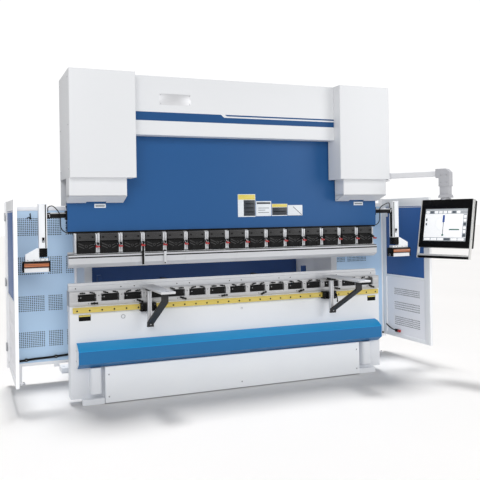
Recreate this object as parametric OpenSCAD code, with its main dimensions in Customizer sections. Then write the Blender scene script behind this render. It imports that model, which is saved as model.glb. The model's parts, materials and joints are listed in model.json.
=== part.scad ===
// Hydraulic press brake with crowning table, quick punch clamps, laser guard, front sheet
// supports, side guards, back gauge and a swivelling operator console.
// Millimetres. +X is the operator's right, -Y faces the operator, +Z is up. The origin is the
// centre of the four foundation holes at floor level. Inside every module Y is measured from
// the bend line, and from_bend() moves the piece to its place.

/* [Working area] */
// Length of the ram and of the bed
work_l = 3100; // [2900:10:3300]
// Distance of the bend line in front of the foundation centre
bend_back = 590; // [560:5:620]
// Height of the die's top above the floor
die_top_z = 1034; // [1020:1:1040]
// Height of the punch tip with the ram at rest
punch_tip_z = 1166; // [1160:1:1172]
// Number of punch clamps and table windows
clamp_n = 15; // [13:1:15]
// Distance between clamp centres
clamp_pitch = 200; // [190:1:205]

/* [Side frames] */
// Thickness of a side frame plate
frame_t = 70; // [50:5:90]
// Distance between the side frames
frame_gap = 2546; // [2500:2:2560]
// Depth of the throat behind the bend line
throat_y = 400; // [380:5:420]
// Rear edge of the side frames behind the bend line
rear_y = 1400; // [1380:5:1420]
// Height of the side frames
frame_top_z = 2620; // [2600:5:2640]

/* [Covers] */
// Height of the machine at the covers
top_z = 2844; // [2800:2:2880]
// Outer half width over the covers
cover_x = 1560; // [1558:1:1570]
// Sheet thickness of the covers
sheet_t = 3; // [2:0.5:4]

/* [Side guards] */
// Distance of the left guard door from the machine's middle
door_left_x = 1985; // [1970:5:2100]
// Distance of the right guard door from the machine's middle
door_right_x = 2135; // [2010:5:2160]
// Front edge of a guard door in front of the bend line
door_front = 170; // [150:5:200]
// Rear edge of the left guard door behind the bend line
door_left_rear = 870; // [690:5:880]
// Rear edge of the right guard door behind the bend line
door_right_rear = 690; // [680:5:880]
// Lower edge of a guard door
door_low_z = 209; // [190:1:230]
// Upper edge of a guard door
door_high_z = 1763; // [1740:1:1800]

/* [Sheet supports] */
// Place of the left support along the rail
support_left_x = -875; // [-1200:1:-300]
// Place of the right support along the rail
support_right_x = 948; // [300:1:1200]
// Reach of the support tables in front of the bend line
support_reach = 810; // [760:5:900]
// Height of the support tables
support_top_z = 1003; // [1000:1:1006]

/* [Console] */
// Height of the console arm
arm_z = 1977; // [1960:1:1990]
// Length of the console arm
arm_l = 644; // [600:1:660]
// Angle of the console arm below the X axis
arm_angle = 53.1; // [50:0.1:60]
// Direction in which the screen looks
console_angle = 200; // [190:0.5:220]
// Backward tilt of the console
console_tilt = 11; // [5:1:15]
// Width of the console
console_w = 540; // [500:1:560]
// Depth of the console
console_d = 92; // [80:1:110]
// Height of the console
console_h = 466; // [440:1:480]

/* [Hidden] */
$fn = 48;

// Clearances
slip = 0.05;       // radial, shaft in a bore
glide = 0.2;       // between flat sliding faces
big = 4000;        // longer than any piece, for cutters

half_l = work_l / 2;
frame_in = frame_gap / 2;
frame_out = frame_in + frame_t;

// Table and bed
table_y = 83;
table_top_z = 968;
bed_top_z = 840;
bed_low_z = 50;
flange_z = 780;
window_w = 158;
window_z = [879, 943];
window_deep = 60;
clamp_x0 = -(clamp_n - 1) / 2 * clamp_pitch;

// Ram
ram_y = [-45, 35];
ram_low_z = 1484;
nose_z = 1468;
ram_end_z = 1748;
ram_mid_z = 2345;
ram_notch_x = 1080;

// Cylinders
cyl_x = frame_in + frame_t / 2;
cyl_half = 150;
cyl_z = [1960, 2560];
bore_r = 100;
bore_z = [2010, 2500];
rod_r = 80;

// Guides at the ram's back
guide_z = [1530, 1955];

// Covers
cover_in = 1000;
cover_y = [-297, 305];
cover_low_z = 1940;
skirt_in = 1070;
skirt_y = -228;
skirt_low_z = 1785;
skirt_tip_z = 1730;
flange_low_z = 1712;
ram_gap_y = -60;

// Foundation
foot_h = 50;
foot_x = [1270, 1460];
bolt_x = 1430;
bolt_y = 700;
bolt_r = 13;

// Rail for the sheet supports
rail_y = 110;
rail_z = [787, 833];
rail_half = 1525;
rail_hole_n = 29;
rail_hole_pitch = 106.5;

// Laser guard
laser_left_x = 1719;
laser_right_x = 1770;
laser_col_w = 69;
laser_bar_z = [1600, 1651];

// Console
arm_x0 = cover_x;
arm_y0 = -145;
elbow_x = arm_x0 + arm_l * cos(arm_angle);
elbow_y = arm_y0 - arm_l * sin(arm_angle);
drop_half = 52;
console_top_z = 1717;
console_shift = 42;

// Back gauge
gauge_x = 1150;
gauge_rail_z = 700;
screw_r = 12;
screw_x = 1245;
carriage_y = 740;
gauge_beam_z = 815;

// ---------- shared shapes ----------

module from_bend() {
    translate([0, -bend_back, 0]) children();
}

// box between two opposite corners
module block(a, b) {
    translate(a) cube([b[0] - a[0], b[1] - a[1], b[2] - a[2]]);
}

// the same piece on the left (-1) or right (+1) side
module on_side(side) {
    if (side > 0) children();
    else mirror([1, 0, 0]) children();
}

module both_sides() {
    children();
    mirror([1, 0, 0]) children();
}

// outline in the YZ plane, swept from x0 to x1
module sweep_x(x0, x1) {
    translate([x0, 0, 0]) rotate([90, 0, 90]) linear_extrude(x1 - x0) children();
}

// outline in the XZ plane, swept from y0 to y1
module sweep_y(y0, y1) {
    translate([0, y1, 0]) rotate([90, 0, 0]) linear_extrude(y1 - y0) children();
}

module rod_x(x0, x1, y, z, r) {
    translate([x0, y, z]) rotate([0, 90, 0]) cylinder(r = r, h = x1 - x0);
}

module rod_y(x, y0, y1, z, r) {
    translate([x, y0, z]) rotate([-90, 0, 0]) cylinder(r = r, h = y1 - y0);
}

module rod_z(x, y, z0, z1, r) {
    translate([x, y, z0]) cylinder(r = r, h = z1 - z0);
}

// rectangle with round corners
module round_rect(w, h, r) {
    union() {
        translate([r, 0]) square([w - 2 * r, h]);
        translate([0, r]) square([w, h - 2 * r]);
        for (x = [r, w - r], y = [r, h - r]) translate([x, y]) circle(r);
    }
}

// upright plate with round corners, its thickness along Y
module round_plate_y(x0, x1, y0, y1, z0, z1, r) {
    sweep_y(y0, y1) translate([x0, z0]) round_rect(x1 - x0, z1 - z0, r);
}

// ---------- side frames ----------

module side_frame() {
    corner = 70;
    jaw_z = 1640;
    difference() {
        sweep_x(frame_in, frame_out) difference() {
            polygon([[42, foot_h], [rear_y, foot_h], [rear_y, 1850], [1120, frame_top_z],
                     [cyl_half, frame_top_z], [cyl_half, jaw_z], [42, jaw_z]]);
            union() {
                translate([0, flange_z]) square([throat_y - corner, jaw_z - flange_z]);
                translate([0, flange_z + corner])
                    square([throat_y, jaw_z - flange_z - 2 * corner]);
                for (z = [flange_z + corner, jaw_z - corner])
                    translate([throat_y - corner, z]) circle(corner);
            }
        }
        rod_x(frame_in - 5, frame_out + 5, 700, 2530, 35);
    }
}

module side_frame_left() {
    color("whitesmoke") from_bend() on_side(-1) side_frame();
}

module side_frame_right() {
    color("whitesmoke") from_bend() on_side(1) side_frame();
}

module foot_pads() {
    color("whitesmoke") from_bend() both_sides() {
        difference() {
            union() {
                block([foot_x[0], -139, 0], [foot_x[1], -table_y, foot_h]);
                block([foot_x[0], -table_y - 1, 0], [frame_out + 20, 200, foot_h]);
            }
            rod_z(bolt_x, bend_back - bolt_y, -5, foot_h + 5, bolt_r);
        }
        difference() {
            block([foot_x[0], rear_y - 200, 0], [foot_x[1], rear_y, foot_h]);
            rod_z(bolt_x, bend_back + bolt_y, -5, foot_h + 5, bolt_r);
        }
    }
}

// ---------- bed ----------

module bed_beam() {
    color("whitesmoke") from_bend() union() {
        block([-half_l, -58, bed_low_z], [half_l, 42, flange_z]);
        block([-half_l, -table_y, flange_z], [half_l, table_y, bed_top_z]);
    }
}

module bed_front_plate() {
    plugs = [[-1090, 732, 20], [34, 732, 9]];
    color("whitesmoke") from_bend() {
        block([-half_l, -table_y, bed_low_z], [half_l, -58, flange_z]);
        for (p = plugs) rod_y(p[0], -table_y - 4, -table_y, p[1], p[2]);
    }
}

module toe_box() {
    end_x = 1503;
    color("steelblue") from_bend()
        sweep_x(-end_x, end_x)
            polygon([[-table_y, 530], [-135, 519], [-206, 475], [-206, 365], [-135, 320],
                     [-table_y, 320]]);
}

module lower_front_plate() {
    half = 1267;
    t = 12;
    color("whitesmoke") from_bend() union() {
        block([-half, -150, 6], [half, -139, 318]);
        // flanges that join the plate to the bed
        block([-half, -139, 318 - t], [half, -table_y, 318]);
        for (x = [-half, half - t]) block([x, -139, 6], [x + t, -table_y, 318 - t]);
    }
}

module leg_posts() {
    color("whitesmoke") from_bend() both_sides()
        translate([1298, -165, 96]) linear_extrude(318 - 96) union() {
            round_rect(96, 60, 26);
            translate([0, 30]) square([96, 52]);
        }
}

module rear_cross_beam() {
    color("midnightblue") from_bend() union() {
        block([-frame_in, 1230, 780], [frame_in, 1290, 1250]);
        // stiffening flanges at the back
        for (z = [780, 1230]) block([-frame_in, 1290, z], [frame_in, 1350, z + 20]);
    }
}

// ---------- crowning table and die ----------

module crowning_table() {
    color("silver") from_bend() difference() {
        block([-half_l, -table_y, bed_top_z], [half_l, table_y, table_top_z]);
        for (i = [0 : clamp_n - 1]) {
            x = clamp_x0 + i * clamp_pitch;
            block([x - window_w / 2, -table_y - 5, window_z[0]],
                  [x + window_w / 2, -table_y + window_deep, window_z[1]]);
        }
        rod_x(-1495, 1495, -50, 911, 8 + slip);
        // groove along the joint with the die rail
        block([-big / 2, -table_y - 5, 962], [big / 2, -table_y + 3, 965]);
    }
}

module crowning_wedges() {
    color("dimgray") from_bend() {
        rod_x(-1480, 1480, -50, 911, 8);
        for (i = [0 : clamp_n - 1]) {
            x = clamp_x0 + i * clamp_pitch;
            difference() {
                sweep_y(-78, -24)
                    polygon([[x - 66, 882], [x + 66, 882], [x + 66, 936], [x - 66, 928]]);
                rod_x(x - 70, x + 70, -50, 911, 8);
            }
        }
    }
}

module die_rail() {
    half_w = 30;
    groove_w = 12;
    groove_d = 13;
    color("lightgray") from_bend()
        sweep_x(-half_l, half_l)
            polygon([[-half_w, table_top_z], [half_w, table_top_z],
                     [half_w, die_top_z - 26], [23, die_top_z - 20], [23, die_top_z],
                     [groove_w, die_top_z], [0, die_top_z - groove_d],
                     [-groove_w, die_top_z], [-23, die_top_z], [-23, die_top_z - 20],
                     [-half_w, die_top_z - 26]]);
}

// hexagon-flanged screw with a short wing, its head against the table's front
module wing_screw(x, z, r) {
    union() {
        rod_y(x, -table_y - 8, -table_y, z, r);
        rod_y(x, -table_y - 14, -table_y - 8, z, r * 0.6);
        block([x - r * 2, -table_y - 13, z - r * 0.45], [x + r * 2, -table_y - 9, z + r * 0.45]);
    }
}

module die_clamp_screws() {
    color("black") from_bend()
        for (i = [0 : clamp_n - 1]) {
            x = clamp_x0 + i * clamp_pitch;
            wing_screw(x - 42, 954, 8);
            wing_screw(x + 42, 954, 8);
            if (i % 2 == 0) wing_screw(x + clamp_pitch / 2 - 40, 862, 11);
        }
}

module support_rail() {
    first = -rail_hole_pitch * (rail_hole_n - 1) / 2;
    color("darkkhaki") from_bend() difference() {
        block([-rail_half, -rail_y, rail_z[0]], [rail_half, -table_y, rail_z[1]]);
        for (i = [0 : rail_hole_n - 1]) {
            x = first + i * rail_hole_pitch;
            rod_y(x, -rail_y - 5, -table_y + 5, 810, 4.5);
            rod_y(x, -rail_y - 5, -rail_y + 8, 810, 8);
        }
        // running groove for the slide blocks
        block([-big / 2, -rail_y - 5, 820], [big / 2, -rail_y + 3, 824]);
    }
}

module rail_bolts() {
    first = -rail_hole_pitch * (rail_hole_n - 1) / 2;
    color("dimgray") from_bend()
        for (i = [0 : rail_hole_n - 1]) {
            x = first + i * rail_hole_pitch;
            difference() {
                union() {
                    rod_y(x, -rail_y + 8, -table_y, 810, 4.3);
                    rod_y(x, -rail_y + 1, -rail_y + 8, 810, 7.2);
                }
                translate([x, -rail_y + 5, 810]) rotate([90, 0, 0]) cylinder(r = 3.6, h = 10, $fn = 6);
            }
        }
}

// ---------- upper structure ----------

module oil_tank() {
    tank_y = [420, 1000];
    tank_z = [1960, 2440];
    wall = 6;
    color("gainsboro") from_bend() difference() {
        block([-frame_in, tank_y[0], tank_z[0]], [frame_in, tank_y[1], tank_z[1]]);
        block([-frame_in + wall, tank_y[0] + wall, tank_z[0] + wall],
              [frame_in - wall, tank_y[1] - wall, tank_z[1] - wall]);
        for (side = [-1, 1]) rod_z(side * 1150, 600, tank_z[1] - 20, tank_z[1] + 5, 15);
    }
    // filler neck with its cap, level gauge at the back
    color("dimgray") from_bend() {
        rod_z(650, 700, tank_z[1], tank_z[1] + 32, 45);
        block([-700, tank_y[1], 2080], [-660, tank_y[1] + 14, 2330]);
    }
}

module header_panel() {
    half = cover_in - 1;
    low = 2322;
    front = -179;
    color("whitesmoke") from_bend() union() {
        block([-half, front, low], [half, front + sheet_t, top_z]);
        block([-half, front, low], [half, ram_gap_y, low + sheet_t]);
        block([-half, front, top_z - sheet_t], [half, 150, top_z]);
        for (x = [-half, half - sheet_t]) block([x, front, low], [x + sheet_t, ram_gap_y, top_z]);
    }
}

// sheet metal box over one cylinder, open at the back and where the ram passes
module cylinder_cover() {
    t = sheet_t;
    difference() {
        union() {
            block([cover_in, cover_y[0], cover_low_z], [cover_x, cover_y[0] + t, top_z]);
            block([cover_in, cover_y[0], top_z - t], [cover_x, cover_y[1], top_z]);
            block([cover_x - t, cover_y[0], cover_low_z], [cover_x, cover_y[1], top_z]);
            block([cover_in, cover_y[0], cover_low_z], [cover_in + t, ram_gap_y, top_z]);
            block([cover_in, cover_y[0], cover_low_z], [cover_x, skirt_y + t, cover_low_z + t]);
            block([cover_in, skirt_y, cover_low_z], [skirt_in + t, ram_gap_y, cover_low_z + t]);
            // lower skirt with its sloped underside
            block([skirt_in, skirt_y, skirt_low_z], [cover_x, skirt_y + t, cover_low_z + t]);
            for (x = [skirt_in, cover_x - t]) sweep_x(x, x + t)
                polygon([[skirt_y, cover_low_z + t], [skirt_y, skirt_low_z],
                         [ram_gap_y, skirt_tip_z], [ram_gap_y, cover_low_z + t]]);
            sweep_x(skirt_in, cover_x)
                polygon([[skirt_y, skirt_low_z], [ram_gap_y, skirt_tip_z],
                         [ram_gap_y, skirt_tip_z + t], [skirt_y, skirt_low_z + t]]);
            // rear flange that is screwed to the side frame and reaches below the skirt
            block([frame_out, cover_y[1] - t, flange_low_z], [cover_x, cover_y[1], top_z]);
        }
        // passage of the piston rod
        rod_z(cyl_x, 0, skirt_tip_z - 20, cover_low_z + 20, rod_r + 4);
    }
}

module cylinder_cover_left() {
    color("whitesmoke") from_bend() on_side(-1) cylinder_cover();
}

module cylinder_cover_right() {
    color("whitesmoke") from_bend() on_side(1) cylinder_cover();
}

module cylinder_bodies() {
    color("dimgray") from_bend() both_sides() difference() {
        block([cyl_x - cyl_half, -cyl_half, cyl_z[0]], [cyl_x + cyl_half, cyl_half, cyl_z[1]]);
        rod_z(cyl_x, 0, bore_z[0], bore_z[1], bore_r);
        rod_z(cyl_x, 0, cyl_z[0] - 5, bore_z[0] + 5, rod_r + slip);
    }
}

module valve_blocks() {
    color("silver") from_bend() both_sides() {
        difference() {
            block([cyl_x - 90, -90, cyl_z[1]], [cyl_x + 90, 90, cyl_z[1] + 140]);
            rod_x(cyl_x - 95, cyl_x - 60, 0, 2640, 15);
        }
        // proportional valve and filling valve on the block
        block([cyl_x - 60, -70, cyl_z[1] + 140], [cyl_x + 60, -20, cyl_z[1] + 190]);
        rod_z(cyl_x, 45, cyl_z[1] + 140, cyl_z[1] + 210, 28);
    }
}

module hydraulic_pipes() {
    r = 15;
    pipe_x = 1150;
    pipe_y = 600;
    color("silver") from_bend() both_sides() union() {
        rod_x(pipe_x, cyl_x - 60, 0, 2640, r);
        translate([pipe_x, 0, 2640]) sphere(r);
        rod_y(pipe_x, 0, pipe_y, 2640, r);
        translate([pipe_x, pipe_y, 2640]) sphere(r);
        rod_z(pipe_x, pipe_y, 2420, 2640, r);
    }
}

motor_y = 700;
motor_z = 2590;

// fan wheel: hub with blades, swept along the motor's axis from x0 to x1
module fan_wheel(x0, x1, r, blade_h, blade_t, blade_n) {
    translate([0, motor_y, motor_z]) sweep_x(x0, x1) union() {
        circle(r);
        for (i = [0 : blade_n - 1])
            rotate(i * 360 / blade_n)
                translate([0, -blade_t / 2]) square([r + blade_h, blade_t]);
    }
}

module pump_motor() {
    body_r = 118;
    fan_x = -330;
    fin_n = 20;
    color("steelblue") from_bend() difference() {
        union() {
            rod_x(-400, -50, motor_y, motor_z, body_r);
            for (i = [0 : fin_n - 1])
                translate([0, motor_y, motor_z]) rotate([i * 360 / fin_n, 0, 0])
                    block([-310, -3, body_r - 6], [-90, 3, body_r + 12]);
            // lantern between motor and pump, and the pump
            rod_x(-50, 60, motor_y, motor_z, 90);
            rod_x(60, 220, motor_y, motor_z, 62);
            // feet and terminal box
            block([-300, motor_y - 80, 2440], [-110, motor_y + 80, 2500]);
            block([-270, motor_y - 58, motor_z + 90], [-140, motor_y + 58, motor_z + 180]);
        }
        rod_x(fan_x - 2, 90, motor_y, motor_z, 20 + slip);
        rod_x(-405, fan_x, motor_y, motor_z, 105);
    }
}

module motor_rotor() {
    color("silver") from_bend() union() {
        rod_x(-392, 80, motor_y, motor_z, 20);
        fan_wheel(-386, -368, 40, 52, 5, 8);
    }
}

// vertical rails that guide the back of the ram
module ram_guides() {
    color("darkgray") from_bend() both_sides() union() {
        block([frame_in - 60, rod_r + 5, guide_z[0]], [frame_in, 230, guide_z[1]]);
        block([frame_in - 120, 100, guide_z[0]], [frame_in - 60, 150, guide_z[1]]);
    }
}

module linear_scales() {
    color("gold") from_bend() both_sides() union() {
        block([frame_in - 30, throat_y + 20, 1290], [frame_in, throat_y + 55, 1640]);
        block([frame_in - 34, throat_y + 12, 1280], [frame_in, throat_y + 63, 1290]);
    }
}

cabinet_hinge_x = 1830;
cabinet_hinge_y = 1391;
cabinet_hinge_z = [440, 1000, 1560];

module electrical_cabinet() {
    x = [frame_out, 1800];
    y = [900, 1390];
    z = [300, 1700];
    t = 4;
    color("whitesmoke") from_bend() union() {
        difference() {
            block([x[0], y[0], z[0]], [x[1], y[1], z[1]]);
            block([x[0] + t, y[0] + t, z[0] + t], [x[1] + 5, y[1] - t, z[1] - t]);
            rod_z(1700, 1300, z[0] - 5, z[0] + 5 + t, 32);
        }
        // hinge pins with their lower knuckles
        for (h = cabinet_hinge_z) {
            rod_z(cabinet_hinge_x, cabinet_hinge_y, h - 30, h, 7);
            rod_z(cabinet_hinge_x, cabinet_hinge_y, h, h + 28, 4);
            block([x[1] - 4, cabinet_hinge_y, h - 30], [cabinet_hinge_x, y[1] + 8, h]);
            block([x[1] - 10, y[1], h - 30], [cabinet_hinge_x, y[1] + 8, h]);
        }
        // mounting plate with switchgear rows
        block([x[0] + t, y[0] + 40, z[0] + 60], [x[0] + t + 6, y[1] - 40, z[1] - 60]);
        for (h = [480, 820, 1160, 1500])
            block([x[0] + 10, y[0] + 80, h], [x[0] + 90, y[1] - 80, h + 130]);
    }
}

module cabinet_door() {
    color("whitesmoke") from_bend() union() {
        difference() {
            block([1800 + glide, 900, 300], [1822, 1390, 1700]);
            for (z = [1300 : 24 : 1564])
                block([1790, 1000, z], [1830, 1290, z + 8]);
        }
        // handle
        block([1822, 935, 960], [1838, 960, 1080]);
        block([1822, 940, 940], [1846, 955, 960]);
        // upper hinge knuckles
        for (h = cabinet_hinge_z) difference() {
            union() {
                rod_z(cabinet_hinge_x, cabinet_hinge_y, h + 1, h + 30, 7);
                block([1815, cabinet_hinge_y - 7, h + 1], [cabinet_hinge_x, cabinet_hinge_y - 1, h + 30]);
            }
            rod_z(cabinet_hinge_x, cabinet_hinge_y, h - 5, h + 35, 4 + slip);
        }
    }
}

// ---------- side guards ----------

hinge_dx = 25;     // hinge pin outside the door's middle plane
hinge_dy = 2;      // and in front of the guard panel
hinge_z = [380, 1000, 1620];
panel_low_z = 175;
panel_high_z = 1718;
vent_columns = [[1370, 1448], [1482, 1620], [1653, 1900]];
vent_rows = [[350, 505], [698, 853], [1056, 1231], [1434, 1609]];
slot_n = 6;

// rows of slots cut through a panel that lies across X
module vent_cuts_x(x0, x1, y0, y1) {
    for (row = vent_rows, k = [0 : slot_n - 1])
        block([x0, y0, row[0] + k * (row[1] - row[0]) / slot_n],
              [x1, y1, row[0] + k * (row[1] - row[0]) / slot_n + 12]);
}

// fixed panel between the machine and the post that carries the door's hinges; the door's
// middle plane is at door_x and the panel's front face at y
module guard_panel(door_x, y) {
    x_in = frame_out;
    x_post = door_x - 25;
    x_hinge = door_x + hinge_dx;
    y_hinge = y - hinge_dy;
    foot_mid = door_x - 95;
    hose_y = y - 14;
    color("lightsteelblue") union() {
        difference() {
            block([x_in, y, panel_low_z], [x_post, y + 25, panel_high_z]);
            for (c = vent_columns) vent_cuts_x(c[0], c[1], y - 5, y + 30);
        }
        // hinge post, and the foot with its base plate
        block([x_post, y + 8, panel_low_z], [x_post + 50, y + 58, door_high_z]);
        // seam between the panel's edge and the post
        block([x_post - 1, y + 8, panel_low_z], [x_post + 1, y + 25, panel_high_z]);
        block([foot_mid - 15, y, 0], [foot_mid + 15, y + 30, panel_low_z + 5]);
        block([foot_mid - 45, y - 30, 0], [foot_mid + 45, y + 60, 8]);
        // bracket under the panel beside the machine
        block([x_in + 180, y, panel_low_z - 30], [x_in + 230, y + 20, panel_low_z + 1]);
        // hinge pins with their lower knuckles
        for (z = hinge_z) {
            rod_z(x_hinge, y_hinge, z - 40, z, 9);
            rod_z(x_hinge, y_hinge, z, z + 38, 5);
            block([x_hinge - 8, y_hinge, z - 40], [x_hinge + 8, y + 10, z]);
        }
        // hose along the lower edge, with two clips
        rod_x(x_in + 2, x_post, hose_y, 253, 12);
        for (x = [x_in + 200, x_in + 480]) block([x, y - 28, 238], [x + 24, y, 268]);
    }
}

module guard_panel_left() {
    from_bend() on_side(-1) guard_panel(door_left_x, door_left_rear);
}

module guard_panel_right() {
    from_bend() on_side(1) guard_panel(door_right_x, door_right_rear);
}

door_vents = [[334, 472], [505, 623], [669, 772]];

// door with a frame, recessed panels, vent slots and the upper hinge knuckles
module guard_door(door_x, rear) {
    x = [door_x - 15, door_x + 15];
    y = [-door_front, rear - 4];
    stile_front = 95;
    stile_rear = 65;
    rail_h = 90;
    mid_z = [880, 906];
    x_hinge = door_x + hinge_dx;
    y_hinge = rear - hinge_dy;
    vent_y = [y[0] + 190, y[1] - 200];
    color("whitesmoke") union() {
        difference() {
            block([x[0], y[0], door_low_z], [x[1], y[1], door_high_z]);
            for (z = [[door_low_z + 40, mid_z[0]], [mid_z[1], door_high_z - rail_h]]) {
                block([x[0] - 5, y[0] + stile_front, z[0]], [x[0] + 11, y[1] - stile_rear, z[1]]);
                block([x[1] - 11, y[0] + stile_front, z[0]], [x[1] + 5, y[1] - stile_rear, z[1]]);
            }
            for (row = door_vents, k = [0 : 3])
                block([x[0] - 5, vent_y[0], row[0] + k * (row[1] - row[0]) / 4],
                      [x[1] + 5, vent_y[1], row[0] + k * (row[1] - row[0]) / 4 + 12]);
        }
        // actuator of the safety switch, inside and low
        block([x[0] - 18, y[1] - 330, 268], [x[0] + 1, y[1] - 240, 300]);
        // upper hinge knuckles
        for (z = hinge_z) difference() {
            union() {
                rod_z(x_hinge, y_hinge, z + 1, z + 40, 9);
                block([x[1] - 1, y_hinge - 8, z + 1], [x_hinge, y_hinge - 2, z + 40]);
            }
            rod_z(x_hinge, y_hinge, z - 5, z + 45, 5 + slip);
        }
    }
}

module guard_door_left() {
    from_bend() on_side(-1) guard_door(door_left_x, door_left_rear);
}

module guard_door_right() {
    from_bend() on_side(1) guard_door(door_right_x, door_right_rear);
}

// ---------- console ----------

module console_bracket() {
    color("gainsboro") from_bend() difference() {
        union() {
            block([cover_x, arm_y0 - 60, arm_z - 60], [cover_x + 8, arm_y0 + 60, arm_z + 60]);
            for (z = [arm_z - 52, arm_z + 40])
                block([cover_x + 8, arm_y0 - 34, z], [cover_x + 90, arm_y0 + 34, z + 12]);
        }
        rod_z(cover_x + 50, arm_y0, arm_z - 60, arm_z + 60, 12 + slip);
    }
}

// arm along its own X axis from the hinge pin, turned to its rest direction
module console_arm() {
    r = 28;
    tube_half = 46;
    foot_half = 56;
    elbow_low_z = 1857;
    tube_low_z = 1762;
    color("gainsboro") from_bend() translate([cover_x + 50, arm_y0, 0])
        rotate([0, 0, arm_turn]) union() {
            rod_z(0, 0, arm_z - 58, arm_z + 58, 12);
            rod_z(0, 0, arm_z - 39, arm_z + 39, r + 3);
            rod_x(0, arm_reach, 0, arm_z, r);
            // mitred elbow, square drop tube and its foot with the swivel spigot
            translate([arm_reach, 0, 0]) {
                sweep_y(-drop_half, drop_half)
                    polygon([[-drop_half, elbow_low_z], [drop_half, elbow_low_z],
                             [drop_half, arm_z + 12], [drop_half - 34, arm_z + 46],
                             [-drop_half - 30, arm_z + 46], [-drop_half - 30, arm_z - 42],
                             [-drop_half, arm_z - 42]]);
                block([-tube_half, -tube_half, tube_low_z],
                      [tube_half, tube_half, elbow_low_z + 5]);
                block([-foot_half, -foot_half, tube_low_z - 20],
                      [foot_half, foot_half, tube_low_z + 5]);
                rod_z(0, 0, console_top_z + 11, tube_low_z, 36);
            }
        }
}

arm_dx = elbow_x - cover_x - 50;
arm_dy = elbow_y - arm_y0;
arm_turn = atan2(arm_dy, arm_dx);
arm_reach = sqrt(arm_dx * arm_dx + arm_dy * arm_dy);

// children are drawn upright in the console's frame: origin at the top under the elbow, the
// screen side at -Y
module at_console() {
    from_bend() translate([elbow_x, elbow_y, console_top_z])
        rotate([0, 0, console_angle + 90]) children();
}

// the same frame tilted about the console's top, origin in the middle of the housing
module in_console() {
    at_console() rotate([-console_tilt, 0, 0])
        translate([console_shift, 0, -console_h / 2]) children();
}

bezel = 46;        // frame beside and above the screen
bezel_low = 92;    // frame below the screen

module console_housing() {
    w = console_w;
    d = console_d;
    h = console_h;
    color("black") union() {
        in_console() difference() {
            round_plate_y(-w / 2, w / 2, -d / 2, d / 2, -h / 2, h / 2, 14);
            // recess for the screen
            block([-w / 2 + bezel, -d / 2 - 5, -h / 2 + bezel_low],
                  [w / 2 - bezel, -d / 2 + 6, h / 2 - bezel]);
        }
        // rear box for the electronics
        in_console()
            block([-w / 2 + 40, d / 2 - 2, -h / 2 + 40], [w / 2 - 40, d / 2 + 26, h / 2 - 40]);
        // neck with the swivel socket
        at_console() difference() {
            rod_z(0, 0, -16, 22, 50);
            rod_z(0, 0, 10, 30, 36 + slip);
        }
    }
}

module console_screen() {
    w = console_w;
    d = console_d;
    h = console_h;
    color("white") in_console()
        block([-w / 2 + bezel, -d / 2 + 2, -h / 2 + bezel_low],
              [w / 2 - bezel, -d / 2 + 6, h / 2 - bezel]);
}

// side plates down both sides of the housing and the grip bar between their lower ends
module console_handle() {
    x = console_w / 2;
    d = console_d;
    h = console_h;
    low = -h / 2 - 78;
    color("silver") in_console() union() {
        for (s = [-1, 1])
            block([s > 0 ? x : -x - 10, -d / 2 - 3, low - 12],
                  [s > 0 ? x + 10 : -x, -d / 2 + 32, h / 2 - 4]);
        rod_x(-x - 2, x + 2, -d / 2 + 12, low, 13);
    }
}

// ---------- back gauge ----------

gauge_y = [450, 1340];

module gauge_rails() {
    color("gray") from_bend() both_sides() {
        // bracket on the side frame and the guide rail on it
        block([gauge_x - 20, gauge_y[0] - 20, 640], [frame_in, gauge_y[1] + 20, 680]);
        block([gauge_x - 12, gauge_y[0], 680], [gauge_x + 12, gauge_y[1], gauge_rail_z + 8]);
        // bearing blocks for the screw
        for (y = [gauge_y[0] - 20, gauge_y[1] - 20]) difference() {
            block([screw_x - 24, y, 680], [screw_x + 24, y + 40, 744]);
            rod_y(screw_x, y - 5, y + 45, 714, screw_r + slip);
        }
    }
}

// ball screw with its belt wheel at the rear end
module gauge_screw() {
    color("silver") union() {
        rod_y(screw_x, gauge_y[0] - 18, gauge_y[1] + 44, 714, screw_r);
        difference() {
            rod_y(screw_x, gauge_y[1] + 24, gauge_y[1] + 44, 714, 24);
            for (a = [0 : 60 : 300])
                rod_y(screw_x + 17 * cos(a), gauge_y[1] + 20, gauge_y[1] + 50, 714 + 17 * sin(a), 3);
        }
    }
}

module gauge_screw_left() {
    from_bend() on_side(-1) gauge_screw();
}

module gauge_screw_right() {
    from_bend() on_side(1) gauge_screw();
}

module gauge_carriage() {
    color("darkslategray") from_bend() {
        both_sides() difference() {
            union() {
                // saddle over the rail, arm to the ball nut
                block([gauge_x - 32, carriage_y - 70, 684], [gauge_x + 32, carriage_y + 70, 742]);
                block([gauge_x + 32, carriage_y - 25, 690], [screw_x + 20, carriage_y + 25, 738]);
                // upright guide for the lift beam
                block([gauge_x - 32, carriage_y + 20, 742], [gauge_x + 8, carriage_y + 70, 1030]);
            }
            block([gauge_x - 12 - glide, carriage_y - 75, 680],
                  [gauge_x + 12 + glide, carriage_y + 75, gauge_rail_z + 8 + glide]);
            rod_y(screw_x, carriage_y - 30, carriage_y + 30, 714, screw_r + slip);
        }
        block([-gauge_x + 32, carriage_y + 10, 690], [gauge_x - 32, carriage_y + 60, 742]);
    }
}

module gauge_beam() {
    z = gauge_beam_z;
    color("silver") from_bend() difference() {
        union() {
            block([-gauge_x - 4, carriage_y - 40, z], [gauge_x + 4, carriage_y + 20 - glide, z + 70]);
            // dovetail rail on top for the finger blocks
            block([-1060, carriage_y - 28, z + 70], [1060, carriage_y - 2, z + 82]);
        }
        // lightening slots along the beam's front
        for (x = [-900 : 300 : 900])
            block([x - 90, carriage_y - 45, z + 20], [x + 90, carriage_y - 30, z + 50]);
    }
}

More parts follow.
